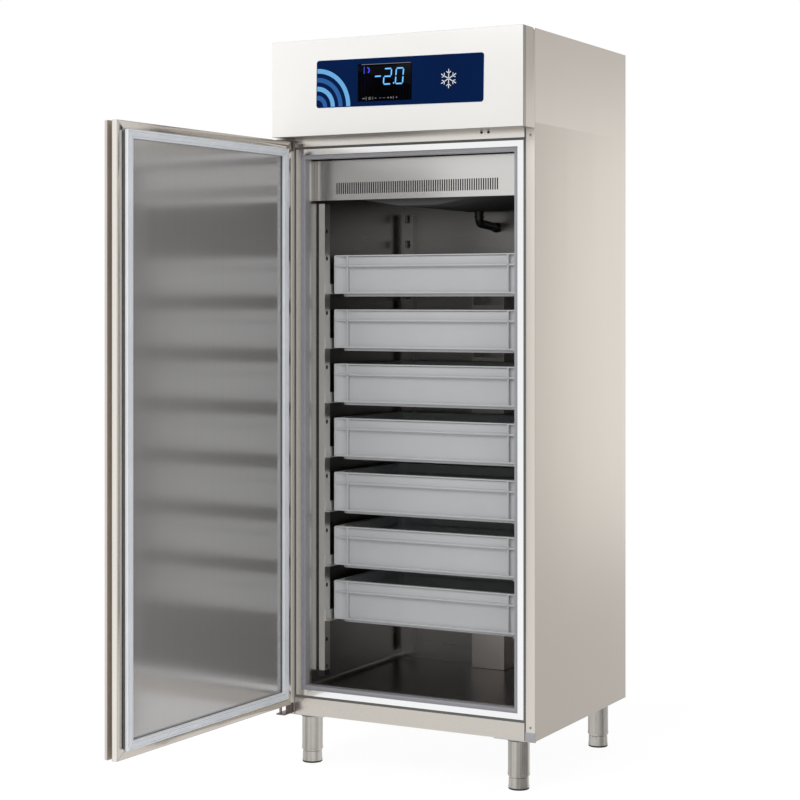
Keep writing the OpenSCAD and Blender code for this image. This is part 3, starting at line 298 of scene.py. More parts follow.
def fin_stack(name, colour, pitch):
    """Thin fins seen on edge: the fine gaps along X between them are painted with shade."""
    finish = Finish(name)
    sockets = {"Vector": finish.place((1 / pitch, 1, 1))}
    across = finish.node("ShaderNodeSeparateXYZ", None, sockets)
    gap = across.math("PINGPONG", across, 0.5) * 2
    dents = finish.noise(30.0, 3.0, 0.6)
    # The gaps are painted darker than the fins: painted shade between them.
    return finish.surface(
        finish.blend(gap.ramp(0.1, 0.7), tuple(part * 0.35 for part in colour), colour),
        0.35 + dents * 0.25, finish.bump(gap, 0.0003, 0.6), Metallic=0.9,
    )


def rigid_foam(name, colour):
    """Cut face of poured foam: small cells and a cloudy tone."""
    finish = Finish(name)
    cloud = finish.noise(12.0, 3.0, 0.6)
    return finish.surface(
        finish.shades(cloud, colour, 0.1), 0.85, finish.bump(finish.cells(420.0), 0.0004, 0.5)
    )


def printed_film(name, colour):
    """Printed polyester film: flat ink under a lightly textured clear face."""
    finish = Finish(name)
    face = finish.noise(1400.0, 1.0, 0.5)
    tone = finish.noise(7.0, 2.0, 0.5)
    return finish.surface(
        finish.shades(tone.ramp(0.3, 0.7), colour, 0.06), 0.45 + (face - 0.5) * 0.06,
        finish.bump(face, 0.00001, 0.3), Specular_IOR_Level=0.03,
    )


def black_window(name, colour, leaking):
    """Dark glossy window with a blue cast where the lamps behind it leak."""
    finish = Finish(name)
    leak = finish.noise(18.0, 2.0, 0.5)
    return finish.surface(
        finish.blend(leak.ramp(0.45, 0.75), colour, leaking), 0.25 + leak * 0.08, None,
        Specular_IOR_Level=0.05,
    )


def lit_segment(name, colour, strength):
    """A lit part of the display, its glow varying a little at random."""
    finish = Finish(name)
    tone = finish.noise(160.0, 2.0, 0.5)
    return finish.surface(
        (0.01, 0.01, 0.02), 0.4, None, Emission_Color=finish.shades(tone, colour, 0.12),
        Emission_Strength=strength,
    )


def blank(xs, ys, zs):
    """A block that fills three ranges."""
    part = bmesh.new()
    bmesh.ops.create_cube(part, size=1.0)
    low = Vector((min(xs), min(ys), min(zs)))
    high = Vector((max(xs), max(ys), max(zs)))
    bmesh.ops.scale(part, vec=high - low, verts=part.verts)
    bmesh.ops.translate(part, vec=(low + high) / 2, verts=part.verts)
    return part


def chain(part, points, closed=False):
    """Edges that join points, as a line or a closed loop."""
    verts = [part.verts.new(point) for point in points]
    ends = verts[1:] + verts[:1] if closed else verts[1:]
    return [part.edges.new(pair) for pair in zip(verts, ends)]


def cut(part, point, normal):
    geometry = part.verts[:] + part.edges[:] + part.faces[:]
    bmesh.ops.bisect_plane(part, geom=geometry, plane_co=point, plane_no=normal)


def shift_grown(part, grown, vector):
    """Moves the points of what an extrusion has made."""
    moved = [item for item in grown["geom"] if isinstance(item, bmesh.types.BMVert)]
    bmesh.ops.translate(part, vec=Vector(vector), verts=moved)


def draw_out(part, faces, vector):
    """Draws flat faces out to a solid."""
    shift_grown(part, bmesh.ops.extrude_face_region(part, geom=faces), vector)
    bmesh.ops.recalc_face_normals(part, faces=part.faces)


def round_off(part, items, radius, steps, affect="EDGES"):
    bmesh.ops.bevel(
        part, geom=items, offset=radius, offset_type="OFFSET", segments=steps, profile=0.5,
        affect=affect, clamp_overlap=True, material=-1,
    )


def folds_of(part):
    return [edge for edge in part.edges if edge.is_manifold and edge.calc_face_angle(0) > 0.5]


def thicken(part, thickness, inside):
    """Gives an open sheet its thickness, growing towards the point inside."""
    bmesh.ops.recalc_face_normals(part, faces=part.faces)
    largest = max(part.faces, key=lambda face: face.calc_area())
    if (largest.calc_center_median() - inside).dot(largest.normal) < 0:
        bmesh.ops.reverse_faces(part, faces=part.faces)
    bmesh.ops.solidify(part, geom=part.faces[:], thickness=thickness)
    bmesh.ops.recalc_face_normals(part, faces=part.faces)


def rounded_sheet(part, size, corner, centre=(0, 0), z=0):
    """A flat rounded rectangle in the XY plane. Returns its points."""
    made = bmesh.ops.create_grid(part, x_segments=1, y_segments=1, size=0.5)["verts"]
    bmesh.ops.scale(part, vec=(*size, 1), verts=made)
    bmesh.ops.translate(part, vec=(*centre, z), verts=made)
    before = set(part.verts) - set(made)
    round_off(part, made, corner, 6, "VERTICES")
    return [vert for vert in part.verts if vert not in before]


def rounded_loop(part, size, corner, centre, z):
    """The edges of a rounded rectangle in the XY plane."""
    verts = rounded_sheet(part, size, corner, centre, z)
    edges = list({edge for vert in verts for edge in vert.link_edges})
    faces = list({face for vert in verts for face in vert.link_faces})
    bmesh.ops.delete(part, geom=faces, context="FACES_ONLY")
    return edges


def rounded_route(points, bend, steps=6):
    """Points of a route with a short curve in place of each corner."""
    route = [points[0]]
    for before, corner, after in zip(points, points[1:], points[2:]):
        reach = min(bend, (corner - before).length * 0.45, (after - corner).length * 0.45)
        start = corner + (before - corner).normalized() * reach
        end = corner + (after - corner).normalized() * reach
        for number in range(steps + 1):
            share = number / steps
            route.append(start.lerp(corner, share).lerp(corner.lerp(end, share), share))
    return route + [points[-1]]


class Shape:
    """One piece under construction, in the cabinet's frame. Profiles are in millimetres."""

    def __init__(self):
        self.mesh = bmesh.new()

    def take(self, part, place=None, finish=0):
        """Adds a finished part, moved by place, and gives it a finish number."""
        if place is not None:
            bmesh.ops.transform(part, matrix=place, verts=part.verts)
        for face in part.faces:
            face.material_index = finish
        carrier = bpy.data.meshes.new("carrier")
        part.to_mesh(carrier)
        part.free()
        self.mesh.from_mesh(carrier)
        bpy.data.meshes.remove(carrier)

    def block(self, xs, ys, zs, soften=0.0, place=None, finish=0):
        """A block that fills three ranges, with its edges rounded by soften."""
        part = blank(xs, ys, zs)
        if soften > 0:
            round_off(part, part.edges[:], soften, 2)
        self.take(part, place, finish)

    def prism(self, outline, vector, soften=0.0, place=None, finish=0):
        """A flat outline of points drawn out along a vector."""
        part = bmesh.new()
        face = part.faces.new([part.verts.new(point) for point in outline])
        draw_out(part, [face], vector)
        if soften > 0:
            round_off(part, part.edges[:], soften, 2)
        self.take(part, place, finish)

    def ring(self, outer, outer_corner, inner, inner_corner, z0, z1, centre, soften=0.0):
        """A flat ring between two rounded rectangles, from z0 to z1."""
        part = bmesh.new()
        loops = rounded_loop(part, outer, outer_corner, centre, z0)
        loops += rounded_loop(part, inner, inner_corner, centre, z0)
        faces = bmesh.ops.bridge_loops(part, edges=loops)["faces"]
        draw_out(part, faces, (0, 0, z1 - z0))
        if soften > 0:
            sharp = [e for e in part.edges if e.calc_face_angle(0) > math.radians(60)]
            round_off(part, sharp, soften, 2)
        self.take(part)

    def lathe(self, profile, centre, steps=48, finish=0, level=False):
        """A profile of (radius, height) turned about Z, or level about Y, through centre."""
        part = bmesh.new()
        edges = chain(part, [(radius * MM, 0, height * MM) for radius, height in profile])
        bmesh.ops.spin(
            part, geom=part.verts[:] + edges, cent=(0, 0, 0), axis=(0, 0, 1), angle=math.tau,
            steps=steps, use_merge=True,
        )
        bmesh.ops.remove_doubles(part, verts=part.verts, dist=1e-6)
        bmesh.ops.recalc_face_normals(part, faces=part.faces)
        turn = Matrix.Rotation(math.radians(-90 if level else 0), 4, "X")
        self.take(part, Matrix.Translation(centre) @ turn, finish)

    def folded(self, line, vector, bend, thickness, inside, place=None):
        """A sheet folded along a line of points and drawn out along a vector. Its drawn line is
        the outer face, and the thickness grows towards the point inside."""
        part = bmesh.new()
        grown = bmesh.ops.extrude_edge_only(part, edges=chain(part, line))
        shift_grown(part, grown, vector)
        folds = [edge for edge in part.edges if len(edge.link_faces) == 2]
        if bend > 0 and folds:
            round_off(part, folds, bend, 4)
        thicken(part, thickness, Vector(inside))
        self.take(part, place)

    def sweep_frame(self, profile, half_width, low, high, y, place=None, finish=0):
        """A profile of (inset, height) led round a rectangle in the XZ plane."""
        part = bmesh.new()
        loops = []
        for sx, sz in ((-1, -1), (1, -1), (1, 1), (-1, 1)):
            edge_z = low if sz < 0 else high
            points = [
                (sx * (half_width - inset * MM), y + height * MM, edge_z - sz * inset * MM)
                for inset, height in profile
            ]
            loops.append(chain(part, points, closed=True))
        for one, other in zip(loops, loops[1:] + loops[:1]):
            bmesh.ops.bridge_loops(part, edges=one + other)
        bmesh.ops.recalc_face_normals(part, faces=part.faces)
        self.take(part, place, finish)

    def tube(self, points, radius, bend):
        """A round tube through points, with its corners rounded by bend."""
        curve = bpy.data.curves.new("route", "CURVE")
        curve.dimensions = "3D"
        curve.bevel_depth = radius
        curve.bevel_resolution = 6
        curve.use_fill_caps = True
        spline = curve.splines.new("POLY")
        route = rounded_route([Vector(point) for point in points], bend)
        spline.points.add(len(route) - 1)
        for target, point in zip(spline.points, route):
            target.co = (*point, 1.0)
        carrier = bpy.data.objects.new("route", curve)
        tube_mesh = bpy.data.meshes.new_from_object(carrier)
        part = bmesh.new()
        part.from_mesh(tube_mesh)
        bmesh.ops.remove_doubles(part, verts=part.verts, dist=1e-6)
        bmesh.ops.recalc_face_normals(part, faces=part.faces)
        bpy.data.objects.remove(carrier)
        bpy.data.curves.remove(curve)
        bpy.data.meshes.remove(tube_mesh)
        self.take(part)

    def copy_of(self, node):
        """The shape of a CAD node, merged and cleaned, to be worked on."""
        part = bmesh.new()
        part.from_mesh(frame["nodes"][node].data)
        bmesh.ops.remove_doubles(part, verts=part.verts, dist=1e-6)
        bmesh.ops.dissolve_limit(
            part, angle_limit=math.radians(0.5), verts=part.verts, edges=part.edges
        )
        self.take(part)

    def face_finish(self, direction, finish, front=None, back=None):
        """Gives the faces that look along a direction another finish, between two depths."""
        self.mesh.normal_update()
        direction = Vector(direction)
        for face in self.mesh.faces:
            depth = face.calc_center_median().y
            if front is not None and not front < depth < back:
                continue
            if face.normal.dot(direction) > 0.7:
                face.material_index = finish

    def put(self, name, finishes, body, replaces=(), smooth=35, soften=0.0):
        """Turns the shape into a piece that rides on a body and stands for CAD nodes."""
        data = bpy.data.meshes.new(name)
        self.mesh.to_mesh(data)
        self.mesh.free()
        for key in finishes.split():
            data.materials.append(finish_of(key))
        data.polygons.foreach_set("use_smooth", [True] * len(data.polygons))
        data.set_sharp_from_angle(angle=math.radians(smooth))
        piece = bpy.data.objects.new(name, data)
        bpy.context.scene.collection.objects.link(piece)
        if soften > 0:
            rounding = piece.modifiers.new("Rounded edges", "BEVEL")
            rounding.width = soften
            rounding.segments = 2
            rounding.limit_method = "ANGLE"
            rounding.angle_limit = math.radians(40)
        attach(piece, body)
        if replaces:
            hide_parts(*replaces)


def dress(finish, *nodes):
    """Gives CAD nodes that keep their shape a finish."""
    for node in nodes:
        materials = frame["nodes"][node].data.materials
        materials.clear()
        materials.append(finish_of(finish))


def screw(shape, place, facing, radius=4 * MM, height=1.6 * MM):
    """A pan head with its cross recess drawn as a flat cross of painted shade, its seat at place
    and its head along facing.
    """
    turn = Vector((0, 0, 1)).rotation_difference(Vector(facing)).to_matrix().to_4x4()
    seat = Matrix.Translation(place) @ turn
    part = bmesh.new()
    bmesh.ops.create_cone(
        part, cap_ends=True, segments=20, radius1=radius, radius2=radius * 0.86, depth=height
    )
    bmesh.ops.translate(part, vec=(0, 0, height / 2), verts=part.verts)
    top = [face for face in part.faces if face.normal.z > 0.9][0]
    round_off(part, list(top.edges), height * 0.3, 2)
    shape.take(part, seat)
    long, short = radius * 0.55, radius * 0.11
    # The cross lies on the head, near-black: painted shade, not a cut.
    for degrees in (0, 90):
        cross = seat @ Matrix.Rotation(math.radians(degrees), 4, "Z")
        shape.block((-long, long), (-short, short), (height - 2 * HAIR, height + HAIR),
                    place=cross, finish=1)


def colour_setting(name, description, default):
    return FloatVectorProperty(
        name=name, description=description, default=default, min=0, max=1, size=3,
        subtype="COLOR",
    )


def length_setting(name, description, default, least, most):
    return FloatProperty(
        name=name, description=description, default=default, min=least, max=most,
        subtype="DISTANCE", unit="LENGTH",
    )


def power_setting(name, description, default):
    return FloatProperty(
        name=name, description=description, default=default, min=0, soft_max=1000, unit="POWER",
    )


class SteelLook(bpy.types.PropertyGroup):
    """Colours and polish of the steel."""

    side_colour: colour_setting(
        "Side steel", "Colour of the outer sides and the back", (0.42, 0.385, 0.345))
    # The front steel is the side steel painted lighter where it faces the front lamps: painted
    # light.
    lit_front_colour: colour_setting(
        "Front steel", "Colour of the stiles and the door's edges", (0.66, 0.62, 0.57))
    inner_colour: colour_setting(
        "Inner steel", "Colour of the liner and the rear uprights", (0.34, 0.33, 0.32))
    pan_colour: colour_setting(
        "Door pan", "Colour of the inner face of the door", (0.52, 0.508, 0.50))
    satin: FloatProperty(
        name="Satin", description="Roughness of the outer steel", default=0.36, min=0.05, max=0.8)
    bend: length_setting("Bend radius", "Outer radius of the folds in the sheet", 2 * MM, 0, 5 * MM)


class PlasticLook(bpy.types.PropertyGroup):
    """Colours of the plastics, the paint and the label."""

    box_colour: colour_setting("Fish boxes", "Colour of the fish boxes", (0.575, 0.585, 0.595))
    gasket_colour: colour_setting("Gasket", "Colour of the door seal", (0.90, 0.93, 0.97))
    frame_colour: colour_setting(
        "Breaker frame", "Colour of the recessed plastic round the opening", (0.37, 0.372, 0.40))
    fascia_colour: colour_setting(
        "Fascia", "Colour of the painted control fascia", (0.90, 0.885, 0.86))
    label_colour: colour_setting(
        "Label", "Ground colour of the control label", (0.0005, 0.0115, 0.064))
    light_colour: colour_setting("Digits", "Colour of the lit digits", (0.10, 0.45, 1.0))


class BoxSizes(bpy.types.PropertyGroup):
    """Small sizes of the fish boxes."""

    rib: length_setting("Rib", "Width of the ribs", 5 * MM, 2 * MM, 10 * MM)
    softness: length_setting("Rounding", "Rounding of the box's rims and ribs", 1.2 * MM, 0, 3 * MM)
    count: IntProperty(
        name="Boxes", description="Number of boxes that get their detail", default=7, min=1, max=7)


class StageLook(bpy.types.PropertyGroup):
    """Lamps and surroundings."""

    key_power: power_setting("Key lamp", "Power of the large lamp over the front", 84.0)
    fill_power: power_setting("Fill lamp", "Power of the lamp at the left", 42.0)
    side_power: power_setting("Side lamp", "Power of the lamp mirrored in the right side", 16.5)
    ambient: FloatProperty(
        name="Ambient", description="Strength of the surroundings for matt surfaces",
        default=0.60, min=0, max=2)
    lens: FloatProperty(
        name="Lens", description="Focal length of the camera", default=85.656, min=20, max=200,
        subtype="DISTANCE_CAMERA")


FINISHES = {}


def finish_of(key):
    """A finish by its short name. All are made at the first call."""
    if not FINISHES:
        tables = finish_tables(bpy.context.scene.fish_cabinet_steel,
                               bpy.context.scene.fish_cabinet_plastic)
        for make, rows in tables.items():
            FINISHES.update({short: make(*values) for short, values in rows.items()})
    return FINISHES[key]


def finish_tables(steel, plastic):
    """Every finish, under the function that makes it: its short name and that function's values."""
    side, front = tuple(steel.side_colour), tuple(steel.lit_front_colour)
    upright, across = (420, 420, 7), (7, 420, 420)
    satin = steel.satin
    return {
        brushed_steel: {
            "side": ("Side steel", side, satin, upright),
            # Front and door end steel are the side steel painted lighter: painted light on faces
            # that look to the front.
            "front": ("Front steel", front, satin, upright),
            "header": ("Header steel", (0.73, 0.70, 0.66), 0.20, across),
            "sill": ("Sill steel", (0.58, 0.545, 0.50), 0.26, across),
            "back": ("Back steel", side, satin + 0.05, across, 0.05),
            # The fascia's return steel is the side steel painted darker, and the two bend strips
            # are darker still: painted shade.
            "return": ("Return steel", (0.36, 0.325, 0.29), satin, upright),
            "wrap": ("Wrap strip", (0.26, 0.235, 0.215), 0.4, upright),
            "wrap_edge": ("Wrap edge", (0.15, 0.132, 0.118), 0.4, upright),
            "polished": ("Polished ring", (0.88, 0.885, 0.89), 0.14, (300, 300, 300),
                         0.015, 0.02, 0.000004),
            "liner": ("Liner steel", tuple(steel.inner_colour), 0.28, (9, 9, 380),
                      0.008, 0.05, 0.000003),
            "duct": ("Duct steel", (0.46, 0.43, 0.41), 0.34, upright),
            "racking": ("Racking steel", (0.74, 0.73, 0.705), 0.36, upright),
            "pan": ("Door pan steel", tuple(steel.pan_colour), 0.13, (300, 300, 3),
                    0.03, 0.03, 0.00008, 0.53, (-0.42, 0.068)),
            "door_end": ("Door end steel", front, 0.32, upright),
            "door_fold": ("Door fold steel", (0.82, 0.78, 0.73), 0.28, upright),
            "flange": ("Door flange steel", (0.58, 0.54, 0.49), 0.17, upright),
            "hinge_side": ("Hinge side steel", (0.60, 0.565, 0.53), 0.4, upright),
            "diffuser": ("Diffuser steel", (0.62, 0.615, 0.60), 0.22, across,
                         0.008, 0.03, 0.000004),
        },
        tube_with_painted_reflections: {"leg": ("Leg steel", (0.17, 0.16, 0.148), (0.52, 0.495, 0.46))},
        zinc_sheet: {"zinc": ("Zinc sheet", (0.55, 0.56, 0.57))},
        drawn_metal: {
            "bracket": ("Bracket steel", (0.19, 0.15, 0.145), 0.4, (0.12, 0.095, 0.09)),
            "pin": ("Pin steel", (0.24, 0.21, 0.19), 0.4, (0.16, 0.14, 0.12)),
            "screw": ("Screw steel", (0.45, 0.44, 0.42), 0.35, (0.30, 0.28, 0.26)),
            "copper": ("Copper tube", (0.80, 0.42, 0.25), 0.28, (0.42, 0.20, 0.11)),
        },
        fin_stack: {
            "fins": ("Aluminium fins", (0.72, 0.73, 0.74), 3.2 * MM),
            "dark_fins": ("Dark fins", (0.10, 0.10, 0.11), 3.5 * MM),
        },
        moulded_plastic: {
            "tray": ("Tray plastic", (0.075, 0.075, 0.077), 0.6, 0.04, 900, 0.08),
            "sleeve": ("Sleeve plastic", tuple(plastic.frame_colour), 0.36, 0.04, 700),
            "seam": ("Seam seal", (0.14, 0.14, 0.14), 0.7, 0.08),
            "cap": ("End cap plastic", (0.45, 0.455, 0.47), 0.5, 0.10, 500),
            "bush": ("Bush plastic", (0.70, 0.70, 0.68), 0.35),
            "box": ("Box plastic", tuple(plastic.box_colour), 0.42, 0.04, 800),
            "black": ("Black plastic", (0.018, 0.018, 0.02), 0.38, 0.15),
            "handle": ("Handle plastic", (0.46, 0.40, 0.335), 0.38, 0.08),
            # Near-black that stands for the shade in holes, slots and recesses: painted shade.
            "dark": ("Dark recess", (0.012, 0.011, 0.011), 0.6, 0.1),
        },
        soft_rubber: {
            "gasket": ("Gasket", tuple(plastic.gasket_colour), 0.5),
            "pad": ("Foot pad", (0.02, 0.02, 0.022), 0.6),
        },
        rigid_foam: {"foam": ("Foam", (0.78, 0.68, 0.42))},
        sprayed_paint: {
            "fascia": ("Fascia paint", tuple(plastic.fascia_colour), 0.34),
            "machine": ("Machine paint", (0.012, 0.012, 0.013), 0.3, 0.3, 0.2),
            "grey_paint": ("Grey paint", (0.35, 0.36, 0.37), 0.42),
        },
        printed_film: {
            "label": ("Label ground", tuple(plastic.label_colour)),
            "label_rim": ("Label rim", (0.86, 0.87, 0.90)),
            "label_light": ("Label light blue", (0.16, 0.43, 0.78)),
            "label_mid": ("Label mid blue", (0.03, 0.12, 0.36)),
        },
        black_window: {"window": ("Display window", (0.001, 0.001, 0.002), (0.003, 0.003, 0.02))},
        lit_segment: {
            "digits": ("Lit digits", tuple(plastic.light_colour), 1.3),
            "icons": ("Lit icons", (0.02, 0.05, 0.9), 0.9),
            # A faint glow for the printed marks and the strip along the window's top: painted
            # light.
            "touch": ("Touch marks", (0.55, 0.5, 0.55), 0.35),
        },
    }


def side_panels(bend):
    """Side sheets, folded in at the front as far up as the deck and plain above it. Their faces
    that look to the front take the lighter front steel, which is painted light.
    """
    inside = (0, 0, 1)
    for name, side in (("side_panel_left", -1), ("side_panel_right", 1)):
        edge, stile = side * HALF_WIDTH, side * STILE
        fold = [(edge, BACK, UNDERSIDE), (edge, FRONT, UNDERSIDE), (stile, FRONT, UNDERSIDE),
                (stile, FOLD_BACK, UNDERSIDE)]
        plain = [(edge, BACK, DECK), (edge, FRONT, DECK)]
        shape = Shape()
        shape.folded(fold, (0, 0, DECK - UNDERSIDE), bend, SHEET, inside)
        shape.folded(plain, (0, 0, TOP - DECK), 0, SHEET, inside)
        # Faces that look to the front take the lighter front steel: painted light on the same
        # sheet.
        shape.face_finish((0, -1, 0), 1)
        shape.put(name + "_sheet", "side front", "cabinet", [name])


def breaker_rings():
    """Polished ring round the opening, recessed plastic ring and sleeve, and rear lip."""
    low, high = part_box("breaker_frame")
    sides = (high.x, low.z, high.z, low.y)
    polished = [(3.1, 0.8), (3.9, 0), (20.4, 0), (20.4, 5.5), (3.1, 5.5)]
    sleeve = [
        (20.4, 0.3), (20.8, 0.8), (20.8, 4.5), (26.2, 4.5), (26.6, 3.8), (31, 3.8), (31.8, 4.6),
        (31.8, 27), (30.5, 27), (30.5, 6), (20.4, 6),
    ]
    lip = [(31.8, 27), (31.8, 38), (30.5, 38), (30.5, 27)]
    shape = Shape()
    for finish, profile in enumerate((polished, sleeve, lip)):
        shape.sweep_frame(profile, *sides, finish=finish)
    shape.put(
        "breaker_rings", "polished sleeve front", "cabinet", ["breaker_frame"]
    )


def front_seams():
    """Grey sealing strip between the steel front and the frame, and the right stile's end cap."""
    low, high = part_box("breaker_frame")
    gap, overlap, end = STILE - high.x, 0.5 * MM, 1.2 * MM
    outer = -(gap + overlap) / MM
    near, far = 1.4, 5.0
    shape = Shape()
    shape.sweep_frame(
        [(outer, near), (2.9, near), (2.9, far), (outer, far)], high.x, low.z, high.z, FRONT
    )
    for side in (-1, 1):
        for zs in ((UNDERSIDE + end, low.z - gap), (high.z + gap, DECK - end)):
            shape.block((side * (high.x - overlap), side * (STILE + overlap)),
                        (FRONT + near * MM, FRONT + far * MM), zs)
    shape.put("front_seam_seal", "seam", "cabinet")
    shape = Shape()
    shape.block((STILE - 1.2 * MM, HALF_WIDTH + 0.8 * MM), (FRONT - 1 * MM, FRONT + 6 * MM),
                (UNDERSIDE - 2.5 * MM, UNDERSIDE + 23.5 * MM), 0.8 * MM)
    shape.put("stile_end_cap", "cap", "cabinet")


def header_hole_shades():
    """Near-black discs of painted shade in the header's holes, and two punch marks over them and a
    slot, drawn as flat patches of painted shade.
    """
    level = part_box("front_header")[0].z + 18 * MM
    holes, slot, half_mark = (0.234, 0.255), (0.2825, 0.2955), 1.2 * MM
    skin = (FRONT - HAIR, FRONT + 2 * HAIR)
    shade_disc = [(0.1, 0), (4, 0), (4, 1.5), (0.1, 1.5)]
    shape = Shape()
    for x in holes:
        shape.lathe(shade_disc, (x, FRONT - 2 * HAIR, level), 20, level=True)
        shape.block((x - half_mark, x + half_mark), skin, (level + 10 * MM, level + 11.6 * MM))
    shape.block(slot, skin, (level + 7 * MM, level + 8.8 * MM))
    shape.put("header_hole_shade_discs", "dark", "cabinet")


def carcass_screws():
    """Two screws in each front stile, and two rows down the back."""
    low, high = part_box("front_screws")
    radius = 4 * MM
    shape = Shape()
    for place in (
        (low.x + radius, low.y + 1.6 * MM, low.z + radius),
        (low.x + radius, low.y + 1.6 * MM, high.z - radius),
        (high.x - radius, FRONT, low.z + 16 * MM),
        (high.x - radius, FRONT, high.z - radius),
    ):
        screw(shape, place, (0, -1, 0))
    shape.put("front_screw_heads", "screw dark", "cabinet", ["front_screws"])
    first, pitch, inset = 0.19, 0.225, 12 * MM
    shape = Shape()
    for number in range(8):
        for side in (-1, 1):
            place = (side * (HALF_WIDTH - inset), BACK, first + number * pitch)
            screw(shape, place, (0, 1, 0), 3.5 * MM, 1.2 * MM)
    shape.put("back_screw_heads", "screw dark", "cabinet")


def door_skin(bend):
    """Outer shell, open towards the pan and notched at the handle groove."""
    low = Vector((-HALF_WIDTH, DOOR_OUTER, DOOR_LOW))
    high = Vector((HALF_WIDTH, DOOR_INNER - SHEET, DOOR_HIGH))
    part = blank(*zip(low, high))
    cut(part, (0, GROOVE_FRONT, 0), (0, 1, 0))
    cut(part, (0, GROOVE_BACK, 0), (0, 1, 0))
    cut(part, (GROOVE_BOTTOM, 0, 0), (1, 0, 0))
    unwanted = []
    for face in part.faces:
        middle = face.calc_center_median()
        inner = face.normal.y > 0.9
        end = face.normal.x > 0.9 and middle.y > GROOVE_FRONT
        notch = abs(face.normal.z) > 0.9 and middle.x > GROOVE_BOTTOM
        if inner or end or (notch and GROOVE_FRONT < middle.y < GROOVE_BACK):
            unwanted.append(face)
    bmesh.ops.delete(part, geom=unwanted, context="FACES")
    round_off(part, folds_of(part), bend, 3)
    thicken(part, SHEET, (low + high) / 2)
    shape = Shape()
    shape.take(part, DOOR_PLACE)
    shape.face_finish((0, 1, 0), 1)
    shape.put("door_skin_sheet", "door_end hinge_side", "door", ["door_outer_skin"])


def door_pan(bend):
    """Inner sheet with its end fold, and the four mitred flanges round the seal."""
    line = [(-HALF_WIDTH, DOOR_INNER, DOOR_LOW), (HALF_WIDTH, DOOR_INNER, DOOR_LOW),
            (HALF_WIDTH, GROOVE_BACK, DOOR_LOW)]
    shape = Shape()
    shape.folded(line, (0, 0, DOOR_HIGH - DOOR_LOW), bend, SHEET, (0, DOOR_OUTER, 1), DOOR_PLACE)
    # Faces that look to the front take a lighter copy of the pan steel: painted light.
    shape.face_finish((0, -1, 0), 2)
    width, rise, gap, proud, edge = 25.5 * MM, 19.5 * MM, 0.5 * MM, 0.7 * MM, 1 * MM
    flanges = []
    for side in (-1, 1):
        x0, x1 = side * (HALF_WIDTH - edge), side * (HALF_WIDTH - width)
        flanges.append([(x0, DOOR_LOW + edge + gap), (x1, DOOR_LOW + rise + gap),
                        (x1, DOOR_HIGH - rise - gap), (x0, DOOR_HIGH - edge - gap)])
    for z, side in ((DOOR_LOW, 1), (DOOR_HIGH, -1)):
        near, far = z + side * edge, z + side * rise
        x0, x1 = HALF_WIDTH - edge - gap, HALF_WIDTH - width - gap
        flanges.append([(-x0, near), (x0, near), (x1, far), (-x1, far)])
    for corners in flanges:
        outline = [(x, DOOR_INNER, z) for x, z in corners]
        shape.prism(outline, (0, proud, 0), 2 * HAIR, DOOR_PLACE, finish=1)
    shape.put("door_pan_sheet", "pan flange door_fold", "door", ["door_inner_pan"])


def handle_groove():
    """Channel along the free edge that the hand pulls."""
    inside = (HALF_WIDTH, (GROOVE_FRONT + GROOVE_BACK) / 2, 1)
    line = [(HALF_WIDTH, GROOVE_FRONT, DOOR_LOW), (GROOVE_BOTTOM, GROOVE_FRONT, DOOR_LOW),
            (GROOVE_BOTTOM, GROOVE_BACK, DOOR_LOW), (HALF_WIDTH, GROOVE_BACK, DOOR_LOW)]
    shape = Shape()
    shape.folded(line, (0, 0, DOOR_HIGH - DOOR_LOW), 3 * MM, GROOVE_WALL, inside, DOOR_PLACE)
    shape.put(
        "door_handle_groove", "handle", "door", ["door_handle_channel"]
    )


def door_seal():
    """Seal with a foot, a bellows neck and a ribbed face, mitred at the corners."""
    above = DOOR_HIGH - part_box("door_gasket")[1].z
    inset = 28 * MM
    sides = (HALF_WIDTH - inset, DOOR_LOW + above, DOOR_HIGH - above, DOOR_INNER, DOOR_PLACE)
    face, foot = 13.7, 3.8
    edge, groove, dip, side = face - 0.4, face - 2.6, face - 1, face - 2
    profile = [
        (0.4, foot), (21.6, foot), (22, 6), (20.6, 7.4), (20.6, 9), (22, 10.2), (22, side),
        (21.2, edge), (18.2, edge), (17.6, groove), (16, groove), (15.4, face), (12, face),
        (11.5, dip), (10.5, dip), (10, face), (6.6, face), (6, groove), (4.4, groove),
        (3.8, edge), (0.8, edge), (0, side), (0, 6),
    ]
    # The dark carrier under the foot is partly the real snap-in profile and partly painted shade
    # under the seal's lip.
    carrier = [(3, 0), (19, 0), (19, foot), (3, foot)]
    shape = Shape()
    shape.sweep_frame(profile, *sides)
    shape.sweep_frame(carrier, *sides, finish=1)
    shape.put("door_seal", "gasket seam", "door", ["door_gasket"], smooth=30)


def hinge_plates():
    shape = Shape()
    shape.copy_of("hinge_brackets")
    shape.put("hinge_bracket_plates", "bracket", "cabinet", ["hinge_brackets"],
              soften=0.6 * MM)


